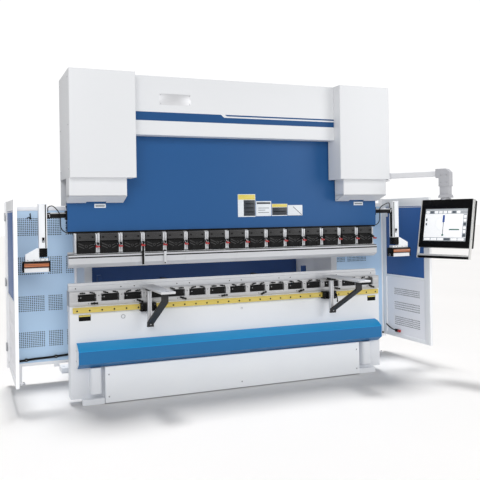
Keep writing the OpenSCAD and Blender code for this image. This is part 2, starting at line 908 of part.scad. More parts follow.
// stop finger: block on the beam rail, arm forward, stepped tip
module gauge_finger(x) {
    y = carriage_y;
    z = gauge_beam_z + 70;
    color("dimgray") union() {
        difference() {
            block([x - 45, y - 45, z + glide], [x + 45, y + 15, z + 60]);
            block([x - 50, y - 28 - glide, z - 5], [x + 50, y - 2 + glide, z + 12 + glide]);
        }
        block([x - 20, y - 340, z + 60], [x + 20, y + 15, z + 96]);
        sweep_x(x - 20, x + 20)
            polygon([[y - 340, z + 66], [y - 340, z + 96], [y - 420, z + 112],
                     [y - 440, z + 112], [y - 440, z + 92]]);
        rod_x(x - 20, x + 20, y - 350, z + 82, 8);
    }
}

module gauge_finger_left() {
    from_bend() gauge_finger(-500);
}

module gauge_finger_right() {
    from_bend() gauge_finger(500);
}

// ---------- ram ----------

module ram() {
    color("royalblue") from_bend() union() {
        sweep_y(ram_y[0], ram_y[1])
            polygon([[-half_l, ram_low_z], [half_l, ram_low_z], [half_l, ram_end_z],
                     [ram_notch_x, ram_end_z], [ram_notch_x, ram_mid_z],
                     [-ram_notch_x, ram_mid_z], [-ram_notch_x, ram_end_z],
                     [-half_l, ram_end_z]]);
        block([-half_l, -35, nose_z], [half_l, 35, ram_low_z]);
        // gibs that run on the guide rails
        both_sides() for (z = [1600, 1680])
            block([frame_in - 118, 35, z], [frame_in - 60 - glide, 100 - glide, z + 60]);
    }
}

module piston_rods() {
    color("silver") from_bend() both_sides() union() {
        rod_z(cyl_x, 0, ram_end_z, 2365, rod_r);
        rod_z(cyl_x, 0, 2360, 2420, bore_r - slip);
    }
}

// one holder: back block under the ram and two ears beside the clamp
module punch_holder() {
    w = clamp_pitch / 2 - 2;
    union() {
        block([-w, -30, 1305], [w, 35, nose_z]);
        for (s = [-1, 1]) block([s > 0 ? 82 : -w, -76, 1300], [s > 0 ? w : -82, -30, 1460]);
    }
}

module punch_holders() {
    color("gainsboro") from_bend()
        for (i = [0 : clamp_n - 1])
            translate([clamp_x0 + i * clamp_pitch, 0, 0]) punch_holder();
}

lever_x = 80;
lever_y = -112;
lever_z = 1372;
grip_end_x = 122;

// black two-tier clamp plate with its screws
module punch_clamp() {
    half = 76;
    face_y = -95;
    union() {
        block([-half, -86, 1402], [half, -30, nose_z]);
        block([-half, face_y, 1292], [half, -30, 1397]);
        block([-66, -80, 1395], [66, -30, 1404]);
        for (x = [-45, 45]) rod_y(x, -93, -86, 1435, 11);
        for (x = [-54, -16, 22]) rod_y(x, face_y - 7, face_y, 1350, 10);
        // lugs and pin for the lever
        for (x = [52, 66]) block([x, -122, lever_z - 11], [x + 7.5, face_y, lever_z + 11]);
        rod_x(52, lever_x + 5, lever_y, lever_z, 4);
    }
}

module punch_clamps() {
    color("black") from_bend()
        for (i = [0 : clamp_n - 1])
            translate([clamp_x0 + i * clamp_pitch, 0, 0]) punch_clamp();
}

// lever on the end of the pin, its grip lying across the gap between two clamps
module clamp_lever() {
    grip_y = lever_y - 6;
    grip_z = lever_z - 20;
    difference() {
        union() {
            rod_x(lever_x - 5, lever_x + 5, lever_y, lever_z, 9);
            block([lever_x - 4, grip_y - 5, grip_z], [lever_x + 4, grip_y + 9, lever_z]);
            rod_x(lever_x - 5, grip_end_x, grip_y, grip_z, 8);
        }
        rod_x(lever_x - 6, lever_x + 6, lever_y, lever_z, 4 + slip);
    }
}

module clamp_levers() {
    color("firebrick") from_bend()
        for (i = [0 : clamp_n - 1])
            translate([clamp_x0 + i * clamp_pitch, 0, 0]) clamp_lever();
}

module punch() {
    color("gainsboro") from_bend()
        sweep_x(-half_l, half_l)
            polygon([[-2, punch_tip_z], [2, punch_tip_z], [26, punch_tip_z + 42],
                     [26, punch_tip_z + 113], [7, punch_tip_z + 113], [7, 1305], [-7, 1305],
                     [-7, punch_tip_z + 113], [-62, punch_tip_z + 113],
                     [-62, punch_tip_z + 40], [-50, punch_tip_z + 26]]);
}

// ---------- laser guard ----------

// bar from the ram's end to the column that starts at x
module laser_bracket(x) {
    union() {
        block([half_l, -40, laser_bar_z[0] - 14], [half_l + 10, 30, laser_bar_z[1] + 14]);
        block([half_l + 10, -20, laser_bar_z[0]], [x - glide, 20, laser_bar_z[1]]);
    }
}

module laser_brackets() {
    color("black") from_bend() {
        on_side(-1) laser_bracket(laser_left_x);
        on_side(1) laser_bracket(laser_right_x);
    }
}

// column that slides in its bracket, black clamp block, wedge bracket to the head
module laser_arm(x) {
    x1 = x + laser_col_w;
    reach = x + 181;
    color("whitesmoke") union() {
        difference() {
            block([x, -36, 1348], [x1, 36, 1723]);
            block([x + 20, -41, 1380], [x1 - 20, -30, 1690]);
        }
        block([x + 2, -34, 1274], [x1 - 2, 34, 1348]);
        sweep_y(-30, 30)
            polygon([[x1 - 2, 1348], [x1 - 2, 1245], [x + 10, 1245], [x + 10, 1239],
                     [reach, 1239], [reach, 1256], [x1 + 20, 1348]]);
    }
}

module laser_arm_left() {
    from_bend() on_side(-1) laser_arm(laser_left_x);
}

module laser_arm_right() {
    from_bend() on_side(1) laser_arm(laser_right_x);
}

module laser_head(x) {
    x0 = x - 22;
    x1 = x + 205;
    color("black") difference() {
        union() {
            block([x0, -48, 1145], [x1, 48, 1239]);
            block([x0 + 18, -52, 1187], [x1 - 18, 52, 1229]);
        }
        // window of the light curtain on the inner end
        rod_x(x0 - 5, x0 + 4, 0, 1166, 14);
    }
}

module laser_head_left() {
    from_bend() on_side(-1) laser_head(laser_left_x);
}

module laser_head_right() {
    from_bend() on_side(1) laser_head(laser_right_x);
}

// ---------- sheet supports ----------

module support_slide() {
    front = -rail_y - glide;
    half = 70;
    z = [772, rail_z[0] - glide, rail_z[1] + glide, 843];
    union() {
        block([-half, -148, z[0]], [half, front, z[3]]);
        // lips under and over the rail
        block([-half, -148, z[0]], [half, -table_y - glide, z[1]]);
        block([-half, -148, z[2]], [half, -table_y - glide, z[3]]);
        // guide cheeks for the post
        for (x = [-38, 28]) block([x, -172, z[0]], [x + 10, -148, z[3]]);
        rod_y(56, -166, -148, 806, 14);
    }
}

module support_slide_left() {
    color("black") from_bend() translate([support_left_x, 0, 0]) support_slide();
}

module support_slide_right() {
    color("black") from_bend() translate([support_right_x, 0, 0]) support_slide();
}

// post, ribbed table and brace
module support_arm() {
    reach = -support_reach;
    top = support_top_z;
    table_half = 59;
    rib_w = 12;
    color("silver") union() {
        difference() {
            block([-25, -186, 644], [25, -148 - glide, top - 16]);
            block([-10, -190, 700], [10, -140, 740]);
            block([-10, -190, 860], [10, -140, 960]);
        }
        difference() {
            block([-table_half, reach, top - 18], [table_half, -40, top]);
            // ribs along the top of the table
            for (x = [-table_half + 6 : rib_w * 1.5 : table_half - 12])
                block([x, reach - 5, top - 4], [x + 7, -35, top + 5]);
        }
        // bent brace from the post's foot to the underside of the table
        sweep_x(-24, 24)
            polygon([[-186, 648], [-186, 678], [reach + 124, 914], [reach + 124, top - 17],
                     [reach + 108, top - 17], [reach + 108, 906], [-202, 656], [-202, 648]]);
    }
}

module support_arm_left() {
    from_bend() translate([support_left_x, 0, 0]) support_arm();
}

module support_arm_right() {
    from_bend() translate([support_right_x, 0, 0]) support_arm();
}

side_frame_left();
side_frame_right();
bed_beam();
bed_front_plate();
toe_box();
lower_front_plate();
leg_posts();
foot_pads();
rear_cross_beam();
oil_tank();
header_panel();
cylinder_cover_left();
cylinder_cover_right();
cylinder_bodies();
valve_blocks();
hydraulic_pipes();
pump_motor();
motor_rotor();
ram_guides();
linear_scales();
crowning_table();
crowning_wedges();
die_rail();
die_clamp_screws();
support_rail();
rail_bolts();
electrical_cabinet();
cabinet_door();
guard_panel_left();
guard_panel_right();
guard_door_left();
guard_door_right();
console_bracket();
console_arm();
console_housing();
console_screen();
console_handle();
gauge_rails();
gauge_screw_left();
gauge_screw_right();
gauge_carriage();
gauge_beam();
gauge_finger_left();
gauge_finger_right();
ram();
piston_rods();
punch_holders();
punch_clamps();
clamp_levers();
punch();
laser_brackets();
laser_arm_left();
laser_arm_right();
laser_head_left();
laser_head_right();
support_slide_left();
support_slide_right();
support_arm_left();
support_arm_right();
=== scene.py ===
"""Press brake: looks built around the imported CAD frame. Lengths in the builders below are in
millimetres with Y measured from the bend line, as in the CAD source; Piece turns them to metres."""
import json
import math
from itertools import product

import bmesh
import bpy
from mathutils import Matrix, Vector

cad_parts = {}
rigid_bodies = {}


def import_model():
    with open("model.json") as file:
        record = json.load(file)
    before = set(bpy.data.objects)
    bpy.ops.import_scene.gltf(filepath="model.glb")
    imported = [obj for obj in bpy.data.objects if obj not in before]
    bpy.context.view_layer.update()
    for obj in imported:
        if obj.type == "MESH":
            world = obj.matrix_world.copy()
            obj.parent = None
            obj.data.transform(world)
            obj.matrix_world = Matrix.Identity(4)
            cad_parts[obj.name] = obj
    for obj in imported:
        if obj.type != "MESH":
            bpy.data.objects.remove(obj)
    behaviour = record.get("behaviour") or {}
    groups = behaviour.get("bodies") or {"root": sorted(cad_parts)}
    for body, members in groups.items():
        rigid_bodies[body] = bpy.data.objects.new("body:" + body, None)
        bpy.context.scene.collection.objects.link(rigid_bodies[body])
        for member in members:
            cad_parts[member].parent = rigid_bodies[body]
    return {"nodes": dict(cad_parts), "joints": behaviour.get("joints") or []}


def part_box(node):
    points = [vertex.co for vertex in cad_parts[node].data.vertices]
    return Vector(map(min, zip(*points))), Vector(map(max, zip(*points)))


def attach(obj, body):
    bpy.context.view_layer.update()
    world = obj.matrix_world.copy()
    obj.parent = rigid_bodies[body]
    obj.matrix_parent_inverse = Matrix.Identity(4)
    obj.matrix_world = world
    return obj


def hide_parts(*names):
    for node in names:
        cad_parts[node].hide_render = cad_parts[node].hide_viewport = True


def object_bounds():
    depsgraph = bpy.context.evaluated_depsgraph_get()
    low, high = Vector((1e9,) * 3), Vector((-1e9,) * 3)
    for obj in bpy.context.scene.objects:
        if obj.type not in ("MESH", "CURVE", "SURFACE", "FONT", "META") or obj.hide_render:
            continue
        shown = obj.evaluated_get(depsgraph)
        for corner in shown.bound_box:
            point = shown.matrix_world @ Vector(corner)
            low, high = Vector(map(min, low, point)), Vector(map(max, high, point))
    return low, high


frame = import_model()
cad_low, cad_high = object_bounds()
nodes = frame["nodes"]

MM = 0.001
die_low, die_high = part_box("die_rail")
BEND = (die_low.y + die_high.y) / 2 / MM      # bend line in the row frame, mm
TO_ROW = Matrix.Scale(MM, 4) @ Matrix.Translation((0, BEND, 0))
FRONT, BACK, RIGHT, UP, DOWN = (0, -1, 0), (0, 1, 0), (1, 0, 0), (0, 0, 1), (0, 0, -1)
HERE = Matrix()                               # no move
MIRROR = Matrix.Scale(-1, 4, RIGHT)
SIDES = (("left", MIRROR), ("right", HERE))
FRAME = "machine_frame"                       # the fixed body

HALF = 1550                                   # half the length of bed and ram
INNER, OUTER = 1273, 1343                     # faces of the side frames, from the middle
COVER, TOP = 1560, 2844                       # outer face and top of the cylinder covers
WINDOW = 158                                  # width of a window of the crowning table
CLAMP_N, CLAMP_PITCH = 15, 200
clamp_xs = [(i - (CLAMP_N - 1) / 2) * CLAMP_PITCH for i in range(CLAMP_N)]
LASER_X = {"left": 1719, "right": 1770}       # inner faces of the laser columns
GUARD_HINGES = (380, 1000, 1620)              # heights
CABINET_HINGES = (440, 1000, 1560)


# ---------------------------------------------------------------- materials

def linear(r, g, b):
    """sRGB 0-255 to a linear colour."""
    def one(c):
        c /= 255
        return c / 12.92 if c <= 0.04045 else ((c + 0.055) / 1.055) ** 2.4
    return one(r), one(g), one(b), 1.0


def scaled(color, k):
    return tuple(min(1.0, c * k) for c in color[:3]) + (1.0,)


def surface(name, rgb, rough, drift, relief, metal=0.0, stretch=(1, 1, 1), coat=0.0, speck=None,
            spec=0.5, rough_drift=0.08):
    """Principled surface in object space: slow colour drift, roughness drift, fine relief, and
    optional specks of dirt or wear. Drift and relief are pairs of strength and noise scale."""
    mat = bpy.data.materials.new(name)
    mat.use_nodes = True
    tree = mat.node_tree
    tree.nodes.clear()
    link = tree.links.new

    def node(kind, **values):
        made = tree.nodes.new("ShaderNode" + kind)
        for key, value in values.items():
            made.inputs[key.replace("_", " ")].default_value = value
        return made

    def noise(where, **values):
        made = node("TexNoise", **values)
        link(where, made.inputs["Vector"])
        return made.outputs["Fac"]

    def blend(factor, *colors):
        made = node("Mix")
        made.data_type = "RGBA"
        link(factor, made.inputs["Factor"])
        for key, value in zip("AB", colors):
            if isinstance(value, tuple):
                made.inputs[key].default_value = value
            else:
                link(value, made.inputs[key])
        return made.outputs["Result"]

    place = node("TexCoord").outputs["Object"]
    slow = noise(place, Scale=drift[1], Detail=5)
    color = linear(*rgb)
    base = blend(slow, scaled(color, 1 - drift[0]), scaled(color, 1 + drift[0]))
    mapping = node("Mapping", Scale=stretch)
    link(place, mapping.inputs["Vector"])
    fine = noise(mapping.outputs["Vector"], Scale=relief[1], Detail=3)
    if speck:
        ramp = node("ValToRGB")
        for stop, at, level in zip(ramp.color_ramp.elements, (0.58, 0.74), (0, speck[0])):
            stop.position, stop.color = at, (level, level, level, 1)
        link(noise(place, Scale=38, Detail=8, Roughness=0.7), ramp.inputs["Fac"])
        base = blend(ramp.outputs["Color"], base, linear(*speck[1]))

    # roughness follows the sum of the slow and the fine pattern
    total = node("Math")
    total.operation = "ADD"
    link(slow, total.inputs[0])
    link(fine, total.inputs[1])
    reach = node("MapRange", From_Min=0.6, From_Max=1.4, To_Min=max(0.03, rough - rough_drift),
                 To_Max=min(1.0, rough + rough_drift))
    link(total.outputs[0], reach.inputs["Value"])
    bumps = node("Bump", Strength=relief[0], Distance=0.0006)
    link(fine, bumps.inputs["Height"])
    bsdf = node("BsdfPrincipled", Metallic=metal, Specular_IOR_Level=spec)
    if coat:
        bsdf.inputs["Coat Weight"].default_value = coat
        bsdf.inputs["Coat Roughness"].default_value = 0.15
    link(base, bsdf.inputs["Base Color"])
    link(reach.outputs["Result"], bsdf.inputs["Roughness"])
    link(bumps.outputs["Normal"], bsdf.inputs["Normal"])
    link(bsdf.outputs["BSDF"], node("OutputMaterial").inputs["Surface"])
    return mat


def emissive(name, rgb, strength):
    mat = surface(name, rgb, 0.2, (0.02, 9), (0.02, 260))
    bsdf = next(n for n in mat.node_tree.nodes if n.type == "BSDF_PRINCIPLED")
    bsdf.inputs["Emission Color"].default_value = linear(*rgb)
    bsdf.inputs["Emission Strength"].default_value = strength
    return mat


# name, sRGB colour, roughness, (colour drift, its scale), (relief, its scale), then extras
WHITE = surface("white_powder_coat", (226, 228, 231), 0.42, (0.018, 0.9), (0.1, 420),
    speck=(0.03, (165, 165, 160)))
BED_WHITE = surface("bed_powder_coat", (232, 235, 240), 0.45, (0.02, 0.8), (0.12, 380),
    speck=(0.04, (150, 150, 146)))
BLUE = surface("ram_blue_paint", (32, 86, 142), 0.42, (0.07, 0.55), (0.1, 360),
    speck=(0.05, (25, 60, 110)), spec=0.3)
STRIPE = surface("stripe_blue_paint", (26, 76, 128), 0.45, (0.04, 1.5), (0.08, 260), spec=0.25)
LIGHT_BLUE = surface("toe_box_front_paint", (34, 114, 172), 0.42, (0.05, 0.7), (0.1, 360), spec=0.3)
# lighter copy of the toe box blue for its top slope: a painted highlight of the light falling on
# the top
TOE_TOP_HIGHLIGHT_BLUE = surface("toe_box_top_painted_highlight", (28, 150, 214), 0.42, (0.05, 0.7), (0.1, 360), spec=0.3)
PALE_BLUE = surface("guard_pale_paint", (182, 210, 236), 0.45, (0.06, 1.1), (0.1, 380))
DOOR_BLUE = surface("guard_blue_paint", (46, 88, 148), 0.45, (0.1, 0.9), (0.1, 380), spec=0.3)
DARK_BLUE = surface("rear_dark_paint", (48, 84, 142), 0.45, (0.08, 1.5), (0.1, 260))
BLACK = surface("black_oxide_steel", (16, 16, 17), 0.42, (0.16, 22), (0.25, 500), metal=0.1,
    speck=(0.25, (62, 62, 62)), spec=0.2, rough_drift=0.14)
GRAPHITE = surface("clamp_upper_steel", (68, 68, 69), 0.4, (0.12, 16), (0.25, 380), metal=0.1,
    stretch=(0.1, 1, 1), speck=(0.2, (84, 84, 84)), spec=0.25)
BRACE = surface("brace_dark_paint", (58, 58, 59), 0.6, (0.1, 10), (0.15, 300), spec=0.12)
PLASTIC = surface("black_plastic", (10, 10, 11), 0.32, (0.1, 8), (0.12, 900), spec=0.12)
RUBBER = surface("black_rubber", (18, 18, 19), 0.62, (0.12, 14), (0.2, 600), spec=0.2)
TABLE_STEEL = surface("ground_table_steel", (190, 191, 193), 0.42, (0.05, 3), (0.008, 900),
    metal=0.35, stretch=(0.04, 1, 1), speck=(0.05, (120, 120, 120)))
TOOL_STEEL = surface("tool_steel", (212, 214, 218), 0.38, (0.03, 2.5), (0.008, 900), metal=0.3,
    stretch=(0.03, 1, 1), speck=(0.03, (140, 142, 146)))
STEEL = surface("machined_steel", (176, 178, 182), 0.34, (0.07, 6), (0.14, 420), metal=0.85,
    stretch=(1, 0.1, 1))
CHROME = surface("chromed_rod", (214, 216, 220), 0.1, (0.03, 4), (0.03, 600), metal=1,
    rough_drift=0.04)
ALU = surface("anodised_aluminium", (216, 217, 220), 0.36, (0.05, 5), (0.16, 520), metal=0.4,
    stretch=(1, 0.04, 1))
CAST = surface("cast_iron_grey", (86, 90, 94), 0.6, (0.12, 9), (0.5, 180), metal=0.3)
YELLOW = surface("rail_yellow_paint", (214, 192, 96), 0.4, (0.06, 5), (0.12, 420),
    speck=(0.12, (140, 118, 48)))
ORANGE = surface("laser_orange_lens", (206, 120, 72), 0.22, (0.08, 20), (0.05, 260), coat=0.5)
LENS_EDGE = surface("laser_lens_edge", (92, 52, 34), 0.35, (0.1, 20), (0.05, 260))
RED = surface("red_plastic", (172, 42, 44), 0.32, (0.08, 18), (0.08, 700), coat=0.3)
SILVER_PLASTIC = surface("console_silver", (218, 218, 216), 0.3, (0.06, 7), (0.08, 500), metal=0.45,
    stretch=(1, 1, 0.08))
GREY_PAINT = surface("arm_grey_paint", (236, 237, 240), 0.42, (0.04, 4), (0.1, 420))
# brighter copy of the white powder coat: painted light on the lower plate and the laser columns,
# which stand in shade
WHITE_PAINTED_LIGHT = surface("powder_coat_painted_light", (246, 249, 254), 0.42, (0.03, 4), (0.1, 420))
JOINT_GREY = surface("elbow_grey_casting", (186, 187, 192), 0.5, (0.06, 6), (0.25, 260))
MOTOR = surface("motor_blue_paint", (38, 78, 122), 0.5, (0.1, 6), (0.3, 200))
LABEL_DARK = surface("plate_dark", (42, 50, 60), 0.4, (0.06, 12), (0.04, 260))
LABEL_WHITE = surface("plate_white", (226, 232, 238), 0.35, (0.03, 12), (0.04, 260))
LABEL_YELLOW = surface("plate_yellow", (222, 204, 100), 0.35, (0.05, 12), (0.04, 260))
LABEL_GREY = surface("plate_grey", (120, 126, 134), 0.35, (0.06, 12), (0.04, 260))
# dark sheet behind the vent holes: painted shade seen through them
VENT_PAINTED_SHADE = surface("vent_painted_shade_sheet", (44, 50, 58), 0.7, (0.06, 1.5), (0.05, 260))
DOOR_WHITE = surface("guard_lower_paint", (232, 233, 238), 0.45, (0.03, 1.5), (0.1, 380))
SCREEN = emissive("screen_white", (236, 237, 238), 0.42)
SCREEN_GREY = emissive("screen_grey", (176, 181, 186), 0.12)
SCREEN_LINE = emissive("screen_line", (96, 104, 112), 0.06)
SCREEN_BLUE = emissive("screen_blue", (52, 84, 158), 0.12)
SCREEN_GREEN = emissive("screen_green", (92, 128, 120), 0.1)


# ---------------------------------------------------------------- pieces

def new_object(name, data):
    obj = bpy.data.objects.new(name, data)
    bpy.context.scene.collection.objects.link(obj)
    return obj


def move(x, y=0, z=0):
    return Matrix.Translation((x, y, z))


def turn(degrees, axis):
    return Matrix.Rotation(math.radians(degrees), 4, axis)


def cos_sin(angle):
    return math.cos(angle), math.sin(angle)


def circle(n):
    """Cosine and sine of n even steps round a circle."""
    return [cos_sin(2 * math.pi * i / n) for i in range(n)]


def skin(part, rings, closed=False):
    """Faces between neighbouring rings of vertices; a ring of one vertex is a tip."""
    n = max(len(ring) for ring in rings)
    for one, two in zip(rings, rings[1:] + rings[:1] if closed else rings[1:]):
        for i in range(n):
            j = (i + 1) % n
            corners = dict.fromkeys((one[i % len(one)], one[j % len(one)], two[j % len(two)],
                                     two[i % len(two)]))
            if len(corners) > 2:
                part.faces.new(list(corners))


def ease(part, edges, r, seg):
    if r > 0:
        bmesh.ops.bevel(part, geom=edges, offset=r, segments=seg, profile=0.5, affect="EDGES",
                        clamp_overlap=True)


class Piece:
    """One visible piece: closed shapes gathered in one mesh, each with a material slot."""

    def __init__(self, name, body, *materials):
        self.name, self.body, self.materials = name, body, materials
        self.mesh = bmesh.new()
        self.place = HERE

    def add(self, part, slot):
        for face in part.faces:
            face.material_index = slot
        part.transform(self.place)
        bmesh.ops.recalc_face_normals(part, faces=part.faces)
        copy = bpy.data.meshes.new("part")
        part.to_mesh(copy)
        part.free()
        self.mesh.from_mesh(copy)
        bpy.data.meshes.remove(copy)

    def box(self, low, high, slot=0, r=1.5, seg=2):
        """Box between two corners with rounded edges."""
        low, high = Vector(low), Vector(high)
        size = high - low
        part = bmesh.new()
        bmesh.ops.create_cube(part, size=1,
                              matrix=Matrix.LocRotScale((low + high) / 2, None, size))
        ease(part, part.edges[:], min(r, min(size) * 0.45), seg)
        self.add(part, slot)

    def prism(self, outline, axis, a, b, slot=0, r=1.5, seg=2):
        """Outline in the plane across axis, swept from a to b, with rounded edges."""
        k = "xyz".index(axis)
        part = bmesh.new()
        ends = [[part.verts.new((*p[:k], t, *p[k:])) for p in outline] for t in (a, b)]
        part.faces.new(ends[0][::-1])
        part.faces.new(ends[1])
        skin(part, ends)
        ease(part, [e for e in part.edges if e.calc_face_angle(0) > math.radians(25)], r, seg)
        self.add(part, slot)

    def lathe(self, profile, origin, axis=UP, slot=0, n=28, closed=False):
        """Profile of (radius, height) pairs turned about the axis through origin."""
        part = bmesh.new()
        skin(part, [[part.verts.new((r * c, r * s, h)) for c, s in circle(n if r else 1)]
                    for r, h in profile], closed)
        aim = Vector(UP).rotation_difference(Vector(axis)).to_matrix().to_4x4()
        part.transform(move(*origin) @ aim)
        self.add(part, slot)

    def disc(self, origin, axis, r, length, slot=0, edge=1.0, n=28):
        """Cylinder from origin along axis with eased rims."""
        e = min(edge, r * 0.45, length * 0.45)
        self.lathe([(0, 0), (r - e, 0), (r, e), (r, length - e), (r - e, length), (0, length)],
                   origin, axis, slot, n)

    def ring(self, origin, axis, r_in, r_out, length, slot=0, n=28, e=0.6):
        """Tube section: washer, collar or eyelet."""
        self.lathe([(r_in, e), (r_in + e, 0), (r_out - e, 0), (r_out, e), (r_out, length - e),
                    (r_out - e, length), (r_in + e, length), (r_in, length - e)],
                   origin, axis, slot, n, closed=True)

    def socket_screw(self, origin, axis, r, slot=0, dark=None):
        """Cap screw head with a hexagon socket, its bottom in the dark slot if one is given."""
        h = r * 0.9
        self.ring(origin, axis, r * 0.5, r, h, slot, n=20, e=r * 0.08)
        self.disc(Vector(origin) + Vector(axis) * h * 0.1, axis, r * 0.52, h * 0.35,
                  slot if dark is None else dark, n=6, edge=0.05)

    def round_screw(self, origin, axis, r, slot=0):
        """Low domed head."""
        self.lathe([(0, 0), (r, 0), (r, r * 0.15), (r * 0.86, r * 0.36), (r * 0.5, r * 0.52),
                    (0, r * 0.56)], origin, axis, slot, n=16)

    def hex_head(self, origin, axis, r, slot=0):
        """Hexagon head on a washer."""
        self.disc(origin, axis, r * 1.25, r * 0.22, slot, edge=0.3, n=24)
        self.disc(Vector(origin) + Vector(axis) * r * 0.22, axis, r, r * 0.75, slot,
                  edge=r * 0.08, n=6)

    def tube(self, points, r, slot=0, n=10, steps=8):
        """Round bar or cable along a smooth curve through the points."""
        path = pts = [Vector(p) for p in points]
        if len(pts) > 2:
            path = []
            ext = [2 * pts[0] - pts[1]] + pts + [2 * pts[-1] - pts[-2]]
            for i in range(1, len(ext) - 2):
                p0, p1, p2, p3 = ext[i - 1:i + 3]
                for t in [k / steps for k in range(steps)]:
                    path.append(0.5 * ((2 * p1) + (p2 - p0) * t
                                       + (2 * p0 - 5 * p1 + 4 * p2 - p3) * t * t
                                       + (3 * p1 - p0 - 3 * p2 + p3) * t ** 3))
            path.append(pts[-1])
        part = bmesh.new()
        rings = []
        side = (path[1] - path[0]).orthogonal()
        for i, p in enumerate(path):
            ahead = (path[min(i + 1, len(path) - 1)] - path[max(i - 1, 0)]).normalized()
            side = (side - ahead * side.dot(ahead)).normalized()
            up = ahead.cross(side)
            rings.append([part.verts.new(p + side * r * c + up * r * s) for c, s in circle(n)])
        skin(part, rings)
        part.faces.new(rings[0][::-1])
        part.faces.new(rings[-1])
        self.add(part, slot)

    def sheet(self, points, axis, a, b, t, bend, slot=0, r=0.8):
        """Folded sheet metal: the points are its outer line, swept from a to b along axis. The
        thickness t lies to the left of the line's direction, to the right if negative."""
        pts = [Vector(p) for p in points]
        line = pts[:1]
        for before, p, after in zip(pts, pts[1:], pts[2:]):
            back, on = (before - p).normalized() * bend, (after - p).normalized() * bend
            for u in (0, 0.25, 0.5, 0.75, 1):
                line.append((p + back * (1 - u)).lerp(p + on * u, u))
        line.append(pts[-1])
        inner = []
        for i, p in enumerate(line):
            d = (line[min(i + 1, len(line) - 1)] - line[max(i - 1, 0)]).normalized()
            inner.append(p + Vector((-d.y, d.x)) * t)
        self.prism([tuple(p) for p in line + inner[::-1]], axis, a, b, slot, r, seg=1)

    def perforated(self, x0, x1, z0, z1, y, pitch, hole, t=1.6, slot=0):
        """Sheet across Y with round holes on a square grid."""
        nx, nz = max(1, int((x1 - x0) / pitch)), max(1, int((z1 - z0) / pitch))
        wx, wz = (x1 - x0) / nx, (z1 - z0) / nz
        part = bmesh.new()
        for i, k in product(range(nx), range(nz)):
            cx, cz = x0 + (i + 0.5) * wx, z0 + (k + 0.5) * wz
            inner, outer = [], []
            for c, d in circle(8):
                m = 2 * max(abs(c), abs(d))
                inner.append(part.verts.new((cx + hole * c, y, cz + hole * d)))
                outer.append(part.verts.new((cx + wx * c / m, y, cz + wz * d / m)))
            skin(part, [inner, outer])
        bmesh.ops.remove_doubles(part, verts=part.verts, dist=0.01)
        bmesh.ops.solidify(part, geom=part.faces[:], thickness=t)
        self.add(part, slot)

    def done(self, *replaced, slot=None):
        """Adds the mesh to the scene, in metres in the row frame, riding on its body."""
        self.mesh.transform(TO_ROW)
        data = bpy.data.meshes.new(self.name)
        self.mesh.to_mesh(data)
        self.mesh.free()
        for mat in self.materials:
            data.materials.append(mat)
        data.polygons.foreach_set("use_smooth", [True] * len(data.polygons))
        data.set_sharp_from_angle(angle=math.radians(38))
        obj = new_object(self.name, data)
        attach(obj, self.body)
        if replaced:
            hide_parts(*replaced)


def dress(names, mat, width):
    """Keeps CAD nodes, named with blanks between, and gives them a finish and eased edges."""
    for name in names.split():
        obj = nodes[name]
        obj.data.materials.clear()
        obj.data.materials.append(mat)
        weld = obj.modifiers.new("weld", "WELD")
        weld.merge_threshold = 0.00001
        if width:
            soft = obj.modifiers.new("ease", "BEVEL")
            soft.width = width * MM
            soft.segments = 2
            soft.limit_method = "ANGLE"
            soft.angle_limit = math.radians(40)
            soft.use_clamp_overlap = True


def pairs(values):
    """First with second, third with fourth and so on."""
    return zip(values[::2], values[1::2])


# ---------------------------------------------------------------- bed

